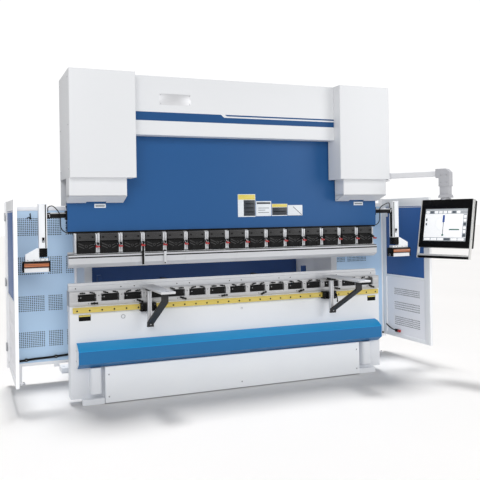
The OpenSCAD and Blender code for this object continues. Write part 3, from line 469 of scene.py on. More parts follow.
def bed():
    p = Piece("bed_front", FRAME, BED_WHITE, STEEL, PLASTIC, LABEL_YELLOW)
    p.box((-HALF, -83, 50), (HALF, -58, 780), r=3)
    for x, z, r in ((-1090, 732, 19), (34, 732, 9), (0, 88, 13)):
        p.ring((x, -83, z), FRONT, r * 0.72, r, 4, 1)
        p.disc((x, -83, z), FRONT, r * 0.74, 1.5)
    for x0, x1 in ((-1474, -1372), (1412, 1506)):
        p.box((x0, -84.2, 715), (x1, -82.8, 767), 2, r=0.4)
        p.box((x0 + 3, -84.6, 752), (x1 - 3, -84.1, 764), 3, r=0.2)
    p.done("bed_front_plate", slot="white_paint")

    p = Piece("bed_beam_top", FRAME, BED_WHITE, STEEL)
    p.box((-HALF, -83, 780), (HALF, 83, 840), r=2.5)
    p.box((-HALF, -58, 50), (HALF, 42, 780), r=2.5)
    for x in range(-1400, 1401, 700):
        p.hex_head((x, 42, 700), BACK, 15, 1)
    p.done("bed_beam", slot="white_paint")

    p = Piece("toe_box_cover", FRAME, LIGHT_BLUE, BED_WHITE, STEEL, TOE_TOP_HIGHLIGHT_BLUE)
    # top slope in slot 3, the lighter blue: painted highlight
    p.prism([(-83, 530), (-135, 519), (-206, 475), (-206, 470), (-135, 480), (-83, 480)], "x",
            -1497, 1497, 3, r=3, seg=3)
    p.prism([(-83, 482), (-135, 482), (-205.5, 472), (-206, 468), (-206, 365), (-135, 320),
             (-83, 320)], "x", -1497, 1497, r=4, seg=3)
    for s in (-1, 1):
        p.prism([(-83, 526), (-134, 515), (-202, 472), (-202, 368), (-134, 323), (-83, 323)],
                "x", s * 1496, s * 1503, 1, r=2)
        for z in (470, 380):
            p.round_screw((s * 1503, -110, z), (s, 0, 0), 6, 2)
    p.done("toe_box", slot="light_blue_paint")

    # lower plate in the brighter white copy: painted light against the shade under the toe box
    p = Piece("lower_plate", FRAME, WHITE_PAINTED_LIGHT, STEEL)
    p.box((-1267, -150, 6), (1267, -139, 318), r=2.5)
    p.box((-1267, -139, 306), (1267, -83, 318), r=1)
    for x in (-1267, 1255):
        p.box((x, -139, 6), (x + 12, -83, 306), r=1)
    for x, z in ((-1235, 60), (-1235, 250), (0, 60), (1235, 60), (1235, 250)):
        p.round_screw((x, -150, z), FRONT, 7, 1)
    p.done("lower_front_plate", slot="white_paint")

    # legs, the front corners rounded
    p = Piece("legs", FRAME, BED_WHITE)
    r = 26
    bend = [cos_sin(math.radians(k)) for k in range(0, 91, 15)]
    outline = ([(1298 + r - r * c, -165 + r - r * s) for c, s in bend]
               + [(1394 - r + r * s, -165 + r - r * c) for c, s in bend]
               + [(1394, -83), (1298, -83)])
    for _, mat in SIDES:
        p.place = mat
        p.prism(outline, "z", 96, 318, r=3)
    p.done("leg_posts", slot="white_paint")


def crowning():
    p = Piece("crowning_table_body", FRAME, TABLE_STEEL, BLACK)
    # rear half, then the bars below and above the windows and between them
    for y0, y1, z0, z1, r in ((-23, 83, 840, 968, 1.5), (-83, -23, 840, 879, 1.2),
                              (-83, -23, 943, 962, 1.2), (-80, -23, 962, 965, 0),
                              (-83, -23, 965, 968, 0.8)):
        p.box((-HALF, y0, z0), (HALF, y1, z1), r=r)
    for a, b in pairs([-HALF] + [x + s * WINDOW / 2 for x in clamp_xs for s in (-1, 1)] + [HALF]):
        p.box((a, -83, 878.5), (b, -23, 943.5), r=1)
        if b - a < 60:
            mid = (a + b) / 2
            p.disc((mid, -83.2, 928), FRONT, 4, 0.8, 1, edge=0.2)
            p.ring((mid, -83, 928), FRONT, 4, 5.5, 0.9)
    for x in clamp_xs[::2]:
        p.disc((x + 10, -83.2, 862), FRONT, 4, 0.8, 1, edge=0.2)
    p.done("crowning_table", slot="ground_steel")

    p = Piece("wedges", "wedge_drive", BLACK, STEEL)
    p.tube([(-1480, -50, 911), (1480, -50, 911)], 8, 1, n=14)
    for x in clamp_xs:
        p.place = move(x)
        p.prism([(-66, 882), (66, 882), (66, 936), (-66, 928)], "y", -78, -24, r=2)
        for d, z in product((-54, -14, 26), (892, 902)):
            p.box((d, -80, z), (d + 28, -77.5, z + 4), r=0.8)
        p.socket_screw((-54, -78, 915), FRONT, 5, 1)
    p.done("crowning_wedges", slot="black_oxide")

    p = Piece("wing_screws", FRAME, BLACK)

    def wing(x, z, r, tilt):
        p.place = move(x, 0, z) @ Matrix.Rotation(tilt, 4, "Y")
        p.disc((0, -83, 0), FRONT, r, 7, edge=0.8, n=20)
        p.disc((0, -90, 0), FRONT, r * 0.6, 6, edge=0.8, n=16)
        for s in (-1, 1):
            p.prism([(s, -r * 0.45), (s * r * 2.6, -r * 0.8), (s * r * 3, 0),
                     (s * r * 2.6, r * 0.8), (s, r * 0.45)], "y", -97, -91, r=1)

    for i, x in enumerate(clamp_xs):
        wing(x - 42, 954, 8, 0.3 * math.sin(i * 2.1))
        wing(x + 42, 954, 8, 0.3 * math.sin(i * 1.3 + 1))
        if i % 2 == 0:
            wing(x + CLAMP_PITCH / 2 - 40, 862, 11, 0.4 * math.sin(i * 3.7))
    p.done("die_clamp_screws", slot="black_oxide")

    p = Piece("die", FRAME, TOOL_STEEL, BLACK)
    outline = [(-30, 968), (30, 968), (30, 1008), (23, 1014), (23, 1034), (12, 1034), (0, 1021),
               (-12, 1034), (-23, 1034), (-23, 1014), (-30, 1008)]
    cuts = (-HALF, -1035, -520, -5, 510, 1025, HALF)
    for a, b in zip(cuts, cuts[1:]):
        p.prism(outline, "x", a + 0.4, b - 0.4, r=0.8)
        for x in (a + 60, b - 60):
            p.disc((x, -30.1, 990), FRONT, 5, 0.6, 1, edge=0.1)
    p.done("die_rail", slot="tool_steel")

    p = Piece("yellow_rail", FRAME, YELLOW)
    for y0, y1, z0, z1 in ((-107, -83, 787, 833), (-110, -106.5, 787, 819.5),
                           (-110, -106.5, 824.5, 833)):
        p.box((-1525, y0, z0), (1525, y1, z1), r=1.2)
    p.done("support_rail", slot="yellow_paint")

    p = Piece("rail_screws", FRAME, BLACK)
    for i in range(-14, 15):
        at = (i * 106.5, -109.6, 806)
        p.ring(at, FRONT, 5.6, 8, 1.2)
        p.disc(at, FRONT, 5.8, 0.9, n=6, edge=0.05)
    p.done("rail_bolts", slot="black_oxide")


# ---------------------------------------------------------------- upper machine

def covers():
    for side, mat in SIDES:
        p = Piece("cylinder_housing_" + side, FRAME, WHITE, STEEL)
        p.place = mat
        p.sheet([(COVER, 305), (COVER, -297), (1000, -297), (1000, -60)], "z", 1940, 2841, -3, 9)
        p.sheet([(COVER, -60), (COVER, -228), (1070, -228), (1070, -60)], "z", 1785, 1942, -3, 7)
        p.box((1000, -297, 2841), (COVER, 305, TOP), r=1.2)
        p.box((1003, -294, 1940), (1557, -222, 1943), r=0.6)
        p.box((1003, -230, 1940.2), (1074, -62, 1943.2), r=0.6)
        p.box((OUTER, 302, 1712), (1558, 305, 2840), r=0.6)
        # sloping floor and side cheeks of the lower box
        p.prism([(-228, 1785), (-90, 1740), (-90, 1743), (-228, 1788)], "x", 1070, COVER, r=0.6)
        for a, b in ((1070, 1222), (1394, COVER)):
            p.prism([(-91, 1740), (-60, 1730), (-60, 1733), (-91, 1743)], "x", a, b, r=0.6)
        for x in (1070, 1557):
            p.prism([(-228, 1790), (-228, 1785), (-60, 1730), (-60, 1790)], "x", x, x + 3, r=0.6)
        for y, z in product((250, -230), (2010, 2380, 2780)):
            p.round_screw((COVER, y, z), RIGHT, 6, 1)
        p.done("cylinder_cover_" + side, slot="white_paint")

    p = Piece("header", FRAME, WHITE, STRIPE, ALU, STEEL)
    p.sheet([(-60, 2322), (-179, 2322), (-179, TOP), (150, TOP)], "x", -999, 999, -3, 5)
    for x in (-999, 996):
        p.box((x, -176, 2325), (x + 3, -60, 2841), r=0.5)
    # stripe: full width left of the step, below a white line right of it, thin line on top
    p.prism([(-998, 2449), (998, 2449), (998, 2499), (-150, 2499), (-180, 2525), (-998, 2525)],
            "y", -180.2, -178.6, 1, r=0)
    p.prism([(-122, 2513), (998, 2513), (998, 2526), (-140, 2526)], "y", -180.2, -178.6, 1, r=0)
    # blank nameplate with its rivets
    p.box((-760, -180.6, 2590), (-470, -178.8, 2690), 2, r=0.6)
    for x, z in product((-748, -482), (2602, 2678)):
        p.round_screw((x, -180.6, z), FRONT, 4, 3)
    p.done("header_panel", slot="white_paint")


def ram():
    p = Piece("ram_plate", "ram", BLUE, STEEL, BLACK)
    right = [(HALF, 1484), (HALF, 1748), (1080, 1748), (1080, 2345)]
    p.prism(right + [(-x, z) for x, z in right[::-1]], "y", -45, 35, r=2.5)
    # narrow nose strip under the ram, in black: painted shade of the groove between ram and clamps
    p.box((-1548, -35, 1468), (1548, 35, 1485), 2, r=1)
    for s in (-1, 1):
        a, b = sorted((s * 1155, s * 1212.8))
        for z in (1600, 1680):
            p.box((a, 35, z), (b, 99.8, z + 60), 1, r=2)
            p.hex_head((s * 1184, 99.8, z + 30), BACK, 10, 1)
        for z in (1520, 1560, 1700):
            p.socket_screw((s * HALF, 10, z), (s, 0, 0), 8, 2)
    p.done("ram", slot="blue_paint")

    # blank plates on the ram: no lettering, only plain fields given in shares of the plate
    p = Piece("ram_plates", "ram", LABEL_WHITE, LABEL_YELLOW, LABEL_GREY, LABEL_DARK)

    def plate(x0, x1, z0, z1, *fields):
        p.box((x0, -46.2, z0), (x1, -44.8, z1), r=0.5)
        for u0, u1, w0, w1, slot in fields:
            p.box((x0 + (x1 - x0) * u0, -46.8, z0 + (z1 - z0) * w0),
                  (x0 + (x1 - x0) * u1, -45.9, z0 + (z1 - z0) * w1), slot, r=0.2)

    plate(26, 206, 1587, 1802, (0.02, 0.98, 0.76, 0.98, 1), (0.33, 0.98, 0.04, 0.74, 3),
          (0.42, 0.9, 0.56, 0.59, 2), (0.42, 0.9, 0.38, 0.41, 2), (0.42, 0.9, 0.2, 0.23, 2))
    plate(212, 372, 1592, 1735, (0.05, 0.95, 0.81, 0.93, 3), (0.15, 0.85, 0.52, 0.56, 2),
          (0.15, 0.6, 0.38, 0.42, 2), (0.15, 0.85, 0.22, 0.26, 2))
    plate(378, 544, 1592, 1708, (0.02, 0.98, 0.74, 0.98, 1), (0.02, 0.98, 0.06, 0.71, 3),
          (0.12, 0.88, 0.34, 0.39, 2))
    plate(549, 708, 1592, 1695, (0, 1, 0, 0.03, 2))
    p.prism([(603, 1677), (609, 1681), (701, 1603), (695, 1599)], "y", -46.9, -46, 2, r=0)
    for x0, x1 in ((-1320, -1220), (1292, 1400)):
        plate(x0, x1, 1687, 1722, (0.1, 0.9, 0.3, 0.62, 2))
    p.done(slot="blue_paint")


def clamps():
    p = Piece("clamp_bodies", "ram", BLACK, GRAPHITE, STEEL, PLASTIC)
    for x in clamp_xs:
        p.place = move(x)
        # upper tier of ribs with its light top lip
        for z in range(1404, 1453, 12):
            p.box((-76, -86, z), (76, -30, z + 10.6), 1, r=1.6)
        p.box((-75, -84.6, 1404), (75, -30, 1462), r=1)
        p.box((-76, -84, 1461), (76, -30, 1468), 1)
        p.box((-74, -82, 1394), (74, -30, 1405), 3, r=1)
        # lower tier, chamfered below
        p.prism([(-91, 1397), (-95, 1392), (-95, 1312), (-84, 1292), (-30, 1292), (-30, 1397)],
                "x", -76, 76, r=2.2)
        for s, z in product((-1, 1), (1357, 1335)):
            p.prism([(s * 70, z + 31), (s * 20, z + 7), (s * 20, z), (s * 70, z + 22)], "y",
                    -99, -94, 1, r=1.2)
        for d in (-46, 46):
            p.box((d - 14, -98.5, 1304), (d + 14, -94, 1336), r=2)
        p.ring((-2, -95, 1356), FRONT, 7, 12, 4, 1)
        p.disc((-2, -95, 1356), FRONT, 7.2, 1.2, 3)
        for d in (-56, 54):
            p.socket_screw((d, -86, 1434), FRONT, 7.5, 0, 3)
        # fork and pin of the lever
        for d in (52, 66):
            p.prism([(-95, 1383), (-116, 1383), (-122, 1377), (-122, 1367), (-116, 1361),
                     (-95, 1361)], "x", d, d + 7.5, r=1)
        p.disc((52, -112, 1372), RIGHT, 4, 35, 2, edge=0.6, n=16)
    p.done("punch_clamps", slot="black_oxide")

    p = Piece("levers", "levers", RED, STEEL)
    for x in clamp_xs:
        p.place = move(x + 80, -112, 1372)
        p.ring((-5, 0, 0), RIGHT, 4.05, 9, 10, 1)
        p.prism([(-7, -3), (-14, -14), (-12, -27), (0, -27), (6, -14), (7, -3)], "x", -4, 4,
                r=1.2)
        p.disc((-5, -6, -20), RIGHT, 6, 36, edge=1.5, n=20)
        p.disc((0, -6, -20), RIGHT, 7.6, 27, edge=2.5, n=24)
    p.done("clamp_levers", slot="red_plastic")

    p = Piece("holders", "ram", TOOL_STEEL, BLACK)
    for x in clamp_xs:
        p.place = move(x)
        p.box((-98, -30, 1305), (98, 35, 1468))
        p.box((-98, -62, 1286), (98, -30.5, 1291.6), r=1)
        for d in (-98, 82):
            p.box((d, -76, 1402), (d + 16, -30, 1460))
            p.box((d, -72, 1384), (d + 16, -30, 1402), r=1)
            p.box((d, -76, 1300), (d + 16, -30, 1384))
    for x in clamp_xs[1:]:
        p.place = move(x - CLAMP_PITCH / 2)
        p.disc((0, -76, 1376), FRONT, 11, 16, 1, edge=2, n=20)
    p.done("punch_holders", slot="tool_steel")

    p = Piece("punch_tool", "ram", TOOL_STEEL, BLACK)
    tip = 1166
    outline = [(-2, tip), (-50, tip + 26), (-62, tip + 38)]
    for z in range(tip + 40, tip + 106, 10):      # fine flutes on the front face
        outline += [(-62, z), (-62, z + 7.5), (-60.8, z + 8.2), (-60.8, z + 9.2)]
    outline += [(-62, tip + 109), (-62, tip + 113), (-7, tip + 113), (-7, 1304.8), (7, 1304.8),
                (7, tip + 113), (26, tip + 113), (26, tip + 42), (2, tip)]
    cuts = (-HALF, -1007, -505, 0, 505, 1010, HALF)
    for a, b in zip(cuts, cuts[1:]):
        p.prism(outline, "x", a + 0.5, b - 0.5, r=0)
    p.box((-1549, -56, tip + 113), (1549, 20, tip + 119), 1, r=0.5)
    p.box((-1549, -62.5, tip + 87), (1549, -50, tip + 98), 1, r=0.5)
    for x, slot, top in ((-900, 1, 1388), (-700, 0, 1298)):
        p.box((x - 9, -78, 1180), (x + 9, -63, top), slot, r=2)
        p.box((x + 10, -74, 1180), (x + 15, -63, 1298), r=1)
        p.disc((x, -78, 1188), FRONT, 6, 4, 1)
        p.box((x - 10, -79, 1290), (x + 10, -63, 1304), 1, r=2)
    p.done("punch", slot="tool_steel")


# ---------------------------------------------------------------- laser guard

def laser():
    bars = Piece("laser_bars", "ram", BLACK, STEEL)
    cables = Piece("laser_cables", "ram", RUBBER, STEEL)     # slack, from ram to column
    for side, mat in SIDES:
        x = LASER_X[side]
        bars.place = cables.place = mat
        p = bars
        p.box((HALF, -40, 1586), (1560, 30, 1665), r=2)
        for y, z in product((-28, 18), (1596, 1655)):
            p.socket_screw((1560, y, z), RIGHT, 6)
        p.box((1560, -20, 1604), (x - 2, 20, 1647), r=3)
        p.box((1560, -24, 1640), (x - 19, 16, 1651), 1)
        p.box((x - 29, -26, 1598), (x - 2, 26, 1651), r=2)
        p.prism([(x - 25, 1612), (x - 19, 1612), (x - 19, 1634), (x - 7, 1634), (x - 7, 1640),
                 (x - 25, 1640)], "y", -28.5, -25, 1, r=0.8)
        cables.tube([(x - 11, 8, 1656), (x - 16, 4, 1698), (x - 52, -10, 1706),
                     (1630, -24, 1668), (1612, -30, 1626), (1608, -30, 1540), (1592, -26, 1500),
                     (1560, -10, 1478), (1552, 0, 1476)], 4.2, steps=10)
        cables.disc((1545, 0, 1474), RIGHT, 8, 14, 1)

        # column in the brighter white copy: painted light against its shade
        p = Piece("laser_column_" + side, "laser_" + side, WHITE_PAINTED_LIGHT, PLASTIC, STEEL, BLACK)
        p.place = mat @ move(x)
        p.box((0, -30, 1348), (69, 36, 1723), r=3)
        for x0, x1 in ((0, 8), (17, 69)):
            p.box((x0, -36, 1350), (x1, -28, 1722), r=2)
        p.box((8, -33, 1352), (17, -28, 1720), 1, r=0.5)
        p.box((-1.5, -37, 1719), (70.5, 37, 1726), r=2)
        p.box((-1, -20, 1352), (1, 20, 1600), 1, r=0.8)
        p.box((23, -40, 1398), (43, -35, 1440), 1, r=2)
        p.disc((33, -40, 1408), FRONT, 8, 5, 2)
        p.disc((33, -40, 1430), FRONT, 8, 9, 1, edge=2)
        # black ribbed clamp block and the wedge bracket below it
        p.box((2, -34, 1274), (67, 34, 1348), 1, r=2)
        for z in range(1282, 1346, 8):
            p.box((1, -35, z), (68, 35, z + 4), 1, r=0.8)
        p.prism([(67, 1348), (67, 1262), (-5, 1262), (-5, 1241), (181, 1241), (181, 1268),
                 (181, 1296), (83, 1348)], "y", -30, 30, r=2.5)
        for d in (21, 56, 111, 161):
            p.socket_screw((d, -30, 1251), FRONT, 4.5, 2, 3)
        p.done("laser_arm_" + side, slot="white_paint")

        p = Piece("laser_unit_" + side, "laser_" + side, PLASTIC, ORANGE, GREY_PAINT, STEEL,
                  LENS_EDGE)
        p.place = mat @ move(x)
        for d in (-22, 192):
            p.box((d, -50, 1150), (d + 13, 50, 1240), r=4, seg=3)
        p.box((-11, -46, 1186), (194, 46, 1239), r=3)
        lens = [(51, 1194), (54, 1199), (54, 1218), (51, 1223)]
        p.prism([(-y, z) for y, z in lens] + lens[::-1], "x", -9, 192, 1, r=1.2)
        for z0, z1 in ((1189, 1198), (1206, 1211), (1219, 1228)):
            p.box((-9, -54.6, z0), (192, 54.6, z1), 4, r=1)
        p.box((-11, -44, 1148), (194, 44, 1187), 2, r=3)
        p.box((-5, -46, 1184), (188, 46, 1188), r=0.8)
        p.ring((-22, 0, 1166), (-1, 0, 0), 10, 15, 3, 3)
        p.disc((-21, 0, 1166), (-1, 0, 0), 10.5, 2)
        for y, z in product((-40, 40), (1158, 1232)):
            p.socket_screw((205, y, z), RIGHT, 3.5, 3, 0)
        p.done("laser_head_" + side, slot="black_plastic")
    bars.done("laser_brackets", slot="black_oxide")
    cables.done(slot="black_oxide")


# ---------------------------------------------------------------- sheet supports

def supports():
    for side, x in (("left", -875), ("right", 948)):
        p = Piece("slide_" + side, "slide_" + side, BLACK, STEEL, PLASTIC)
        p.place = move(x)
        p.box((-70, -148, 775), (70, -111.6, 835), r=3)
        p.box((-70, -148, 833.2), (70, -83.2, 843), r=2)
        p.box((-70, -148, 772), (70, -83.2, 786.8), r=2)
        for d, z in product((-60, 56), (786, 829)):
            p.socket_screw((d, -148, z), FRONT, 6, 0, 1)
        for d in (-38, 28):
            p.box((d, -172, 772), (d + 10, -148, 843))
        # clamping knob with its lever
        p.disc((56, -148, 806), FRONT, 8, 8, 1)
        p.lathe([(0, 0), (13, 0), (15, 3), (15, 10), (12, 15), (0, 16)], (56, -154, 806), FRONT,
                2, n=14)
        p.tube([(56, -166, 806), (57, -174, 796), (60, -178, 776), (62, -178, 752)], 4.5, 2)
        p.lathe([(0, 0), (7, 2), (8, 10), (5, 16), (0, 17)], (62, -178, 755), DOWN, 2, n=16)
        p.done("support_slide_" + side, slot="black_oxide")

        p = Piece("table_" + side, "table_" + side, ALU, BRACE, STEEL, PLASTIC)
        p.place = move(x)
        # T-slotted post
        for d in (-17, 4):
            p.box((d, -186, 644), (d + 13, -148.2, 987), r=2)
        p.box((-5, -178, 646), (5, -156, 985), r=0.8)
        p.box((-18, -187, 638), (18, -147.4, 645), 3, r=2)
        # table: ribs on a plate, side rails, end caps, bracket to the post, clasp in front
        top, back, front = 1003, -95, -775
        p.box((-57, front + 1, 985.4), (57, back, 996), r=1)
        for c in range(-51, 52, 17):
            p.box((c - 4.7, front + 3, 995), (c + 4.7, back - 2, top), r=1.6)
        for d in (-59, 56):
            p.box((d, front, 984.6), (d + 3, back, top - 1), r=1)
        p.box((-60, front - 5, 984), (60, front + 2, top), r=2)
        p.box((-59, back - 2, 984), (59, back + 2, top - 0.5), r=1)
        p.box((-22, -200, 955), (22, -120, 985), 1, r=2)
        p.box((-14, front + 24, top - 1), (14, front + 49, top + 0.4), 2, r=0.8)
        # bent brace with its end lugs
        p.prism([(-186, 650), (-186, 680), (-660, 919), (-660, 985), (-682, 985), (-682, 906),
                 (-208, 666), (-208, 650)], "x", -28, 28, 1, r=2.5)
        p.box((-32, -700, 979), (32, -640, 985), 1)
        p.box((-30, -203, 640), (30, -184, 652), 1, r=2)
        for d in (-14, 14):
            p.socket_screw((d, -200, 970), FRONT, 5, 1, 2)
            p.socket_screw((d, -650, 979), DOWN, 5, 2)
        p.hex_head((0, -203, 664), FRONT, 7, 2)
        p.done("support_arm_" + side, slot="extruded_aluminium")


# ---------------------------------------------------------------- side guards

ROWS = [(350, 505), (698, 853), (1056, 1231), (1434, 1609)]
COLUMNS = [(1370, 1448), (1482, 1620), (1653, 1900)]
DOOR_ROWS = [(341, 445), (514, 612), (680, 761)]


def flat(ranges):
    return [value for low_high in ranges for value in low_high]


def guard_panel(side, mat, door_x, y):
    p = Piece("guard_rear_" + side, FRAME, PALE_BLUE, GREY_PAINT, RUBBER, STEEL, PLASTIC,
              VENT_PAINTED_SHADE)
    p.place = mat
    post = door_x - 25
    for a, b in pairs([OUTER] + flat(COLUMNS) + [post]):
        p.box((a, y + 8, 178), (b, y + 16, 1716), r=0)
    for x0, x1 in COLUMNS:
        for a, b in pairs([178] + flat(ROWS) + [1716]):
            p.box((x0, y + 8, a), (x1, y + 16, b), r=0)
        for z0, z1 in ROWS:
            for dy in (8, 14):
                p.perforated(x0, x1, z0, z1, y + dy, pitch=17, hole=6)
            # dark sheet between the two perforated skins: painted shade seen through the holes
            p.box((x0, y + 11.5, z0), (x1, y + 12.5, z1), 5, r=0)
    # frame of square tube, middle stile
    for z0, z1 in ((1678, 1718), (175, 205)):
        p.box((OUTER, y, z0), (post, y + 25, z1), 1, r=2.5)
    p.box((OUTER, y + 0.5, 175), (1366, y + 24.5, 1718), 1, r=2.5)
    # hinge post, foot and bracket
    p.box((post, y + 8, 175), (post + 50, y + 58, 1763), 1, r=4)
    p.box((post + 8, y + 16, 1762), (post + 42, y + 50, 1766), 4)
    foot = door_x - 95
    p.box((foot - 15, y, 6), (foot + 15, y + 30, 180), 1, r=3)
    p.box((foot - 45, y - 30, 0), (foot + 45, y + 60, 8), 1, r=2)
    for dx, dy in product((-32, 32), (-16, 46)):
        p.hex_head((foot + dx, y + dy, 8), UP, 8, 3)
    p.box((1523, y, 145), (1573, y + 20, 176), 1, r=2)
    hx, hy = door_x + 25, y - 2
    for z in GUARD_HINGES:
        p.disc((hx, hy, z - 40), UP, 9, 40, 3)
        p.disc((hx, hy, z), UP, 5, 38, 3)
        p.box((hx - 8, hy, z - 40), (hx + 8, hy + 12, z), 3, r=1)
    # hose along the lower edge
    p.tube([(1345, y - 14, 262), (1450, y - 14, 256), (1620, y - 15, 246), (1760, y - 14, 242),
            (post - 2, y - 12, 226)], 11, 2, n=14)
    for x, z in ((1545, 250), (1823, 238)):
        p.box((x, y - 28, z - 15), (x + 24, y + 2, z + 15), 4, r=4)
        p.round_screw((x + 12, y - 28, z), FRONT, 5, 3)
    # hook near the top
    p.tube([(1780, y - 2, 1640), (1780, y - 26, 1650), (1780, y - 40, 1620),
            (1780, y - 24, 1596)], 5, 4)
    p.tube([(1766, y - 3, 1600), (1790, y - 8, 1616), (1812, y - 3, 1604)], 4, 4)
    p.done("guard_panel_" + side, slot="pale_blue_paint")


def guard_door(side, mat, door_x, end):
    p = Piece("guard_door_leaf_" + side, "door_" + side, WHITE, DOOR_BLUE, STEEL, PLASTIC, RED,
              RUBBER, VENT_PAINTED_SHADE, DOOR_WHITE)
    p.place = mat
    x0, x1 = door_x - 15, door_x + 15
    y0, y1 = -170, end - 4
    # tubular frame round the blue upper sheet
    p.box((x0, y0, 209), (x1, y0 + 95, 1763), r=4, seg=3)
    p.box((x0, y1 - 65, 209), (x1, y1, 1763), r=4, seg=3)
    for z0, z1 in ((209, 249), (1673, 1763), (880, 906)):
        p.box((x0 + 0.4, y0 + 2, z0), (x1 - 0.4, y1 - 2, z1), r=3)
    p.box((x0 + 8, y0 + 90, 904), (x1 - 8, y1 - 60, 1676), 1, r=0.8)
    for x in (x0 + 5, x1 - 8):
        p.box((x, y0 + 94, 1660), (x + 3, y1 - 64, 1666), r=0.8)
    # lower sheet with vents; the dark sheet behind the holes is painted shade
    v0, v1 = y0 + 190, y1 - 200
    for a, b in ((y0 + 90, v0), (v1, y1 - 60)):
        p.box((x0 + 9, a, 245), (x1 - 9, b, 884), 7, r=0)
    for a, b in pairs([245] + flat(DOOR_ROWS) + [884]):
        p.box((x0 + 9, v0, a), (x1 - 9, v1, b), 7, r=0)
    p.place = mat @ turn(90, "Z")
    for z0, z1 in DOOR_ROWS:
        for x in (x0 + 11, x1 - 9):
            p.perforated(v0, v1, z0, z1, -x, pitch=20, hole=7.2, slot=7)
        # dark sheet between the perforated skins: painted shade seen through the holes
        p.box((v0, -door_x - 1, z0), (v1, -door_x + 1, z1), 6, r=0)
    p.place = mat
    # small latch inside, hinges
    p.box((x0 - 5, y1 - 100, 1560), (x0 + 9, y1 - 84, 1640))
    hx, hy = door_x + 25, end - 2
    for z in GUARD_HINGES:
        p.ring((hx, hy, z + 1), UP, 5.05, 9, 39, 2)
        p.box((x1 - 1, hy - 8, z + 2), (hx - 5, hy - 2, z + 40), 2, r=1)
    # actuator of the safety switch with its short cable
    p.box((x0 - 18, y1 - 290, 268), (x0 + 1, y1 - 240, 300), 3, r=3)
    p.box((x0 - 17, y1 - 332, 270), (x0 + 1, y1 - 291, 298), 4, r=3)
    p.tube([(x0 - 8, y1 - 242, 286), (x0 - 9, y1 - 190, 290), (x0 - 5, y1 - 120, 306),
            (x0 - 3, y1 - 60, 330)], 6, 5)
    p.done("guard_door_" + side, slot="white_paint")


def guards():
    for (side, mat), door_x, end in zip(SIDES, (1985, 2135), (870, 690)):
        guard_panel(side, mat, door_x, end)
        guard_door(side, mat, door_x, end)


# ---------------------------------------------------------------- console

def joint(name):
    """Place of a joint in the builders' millimetres."""
    x, y, z = next(j for j in frame["joints"] if j["name"] == name)["pos_m"]
    return x / MM, y / MM - BEND, z / MM


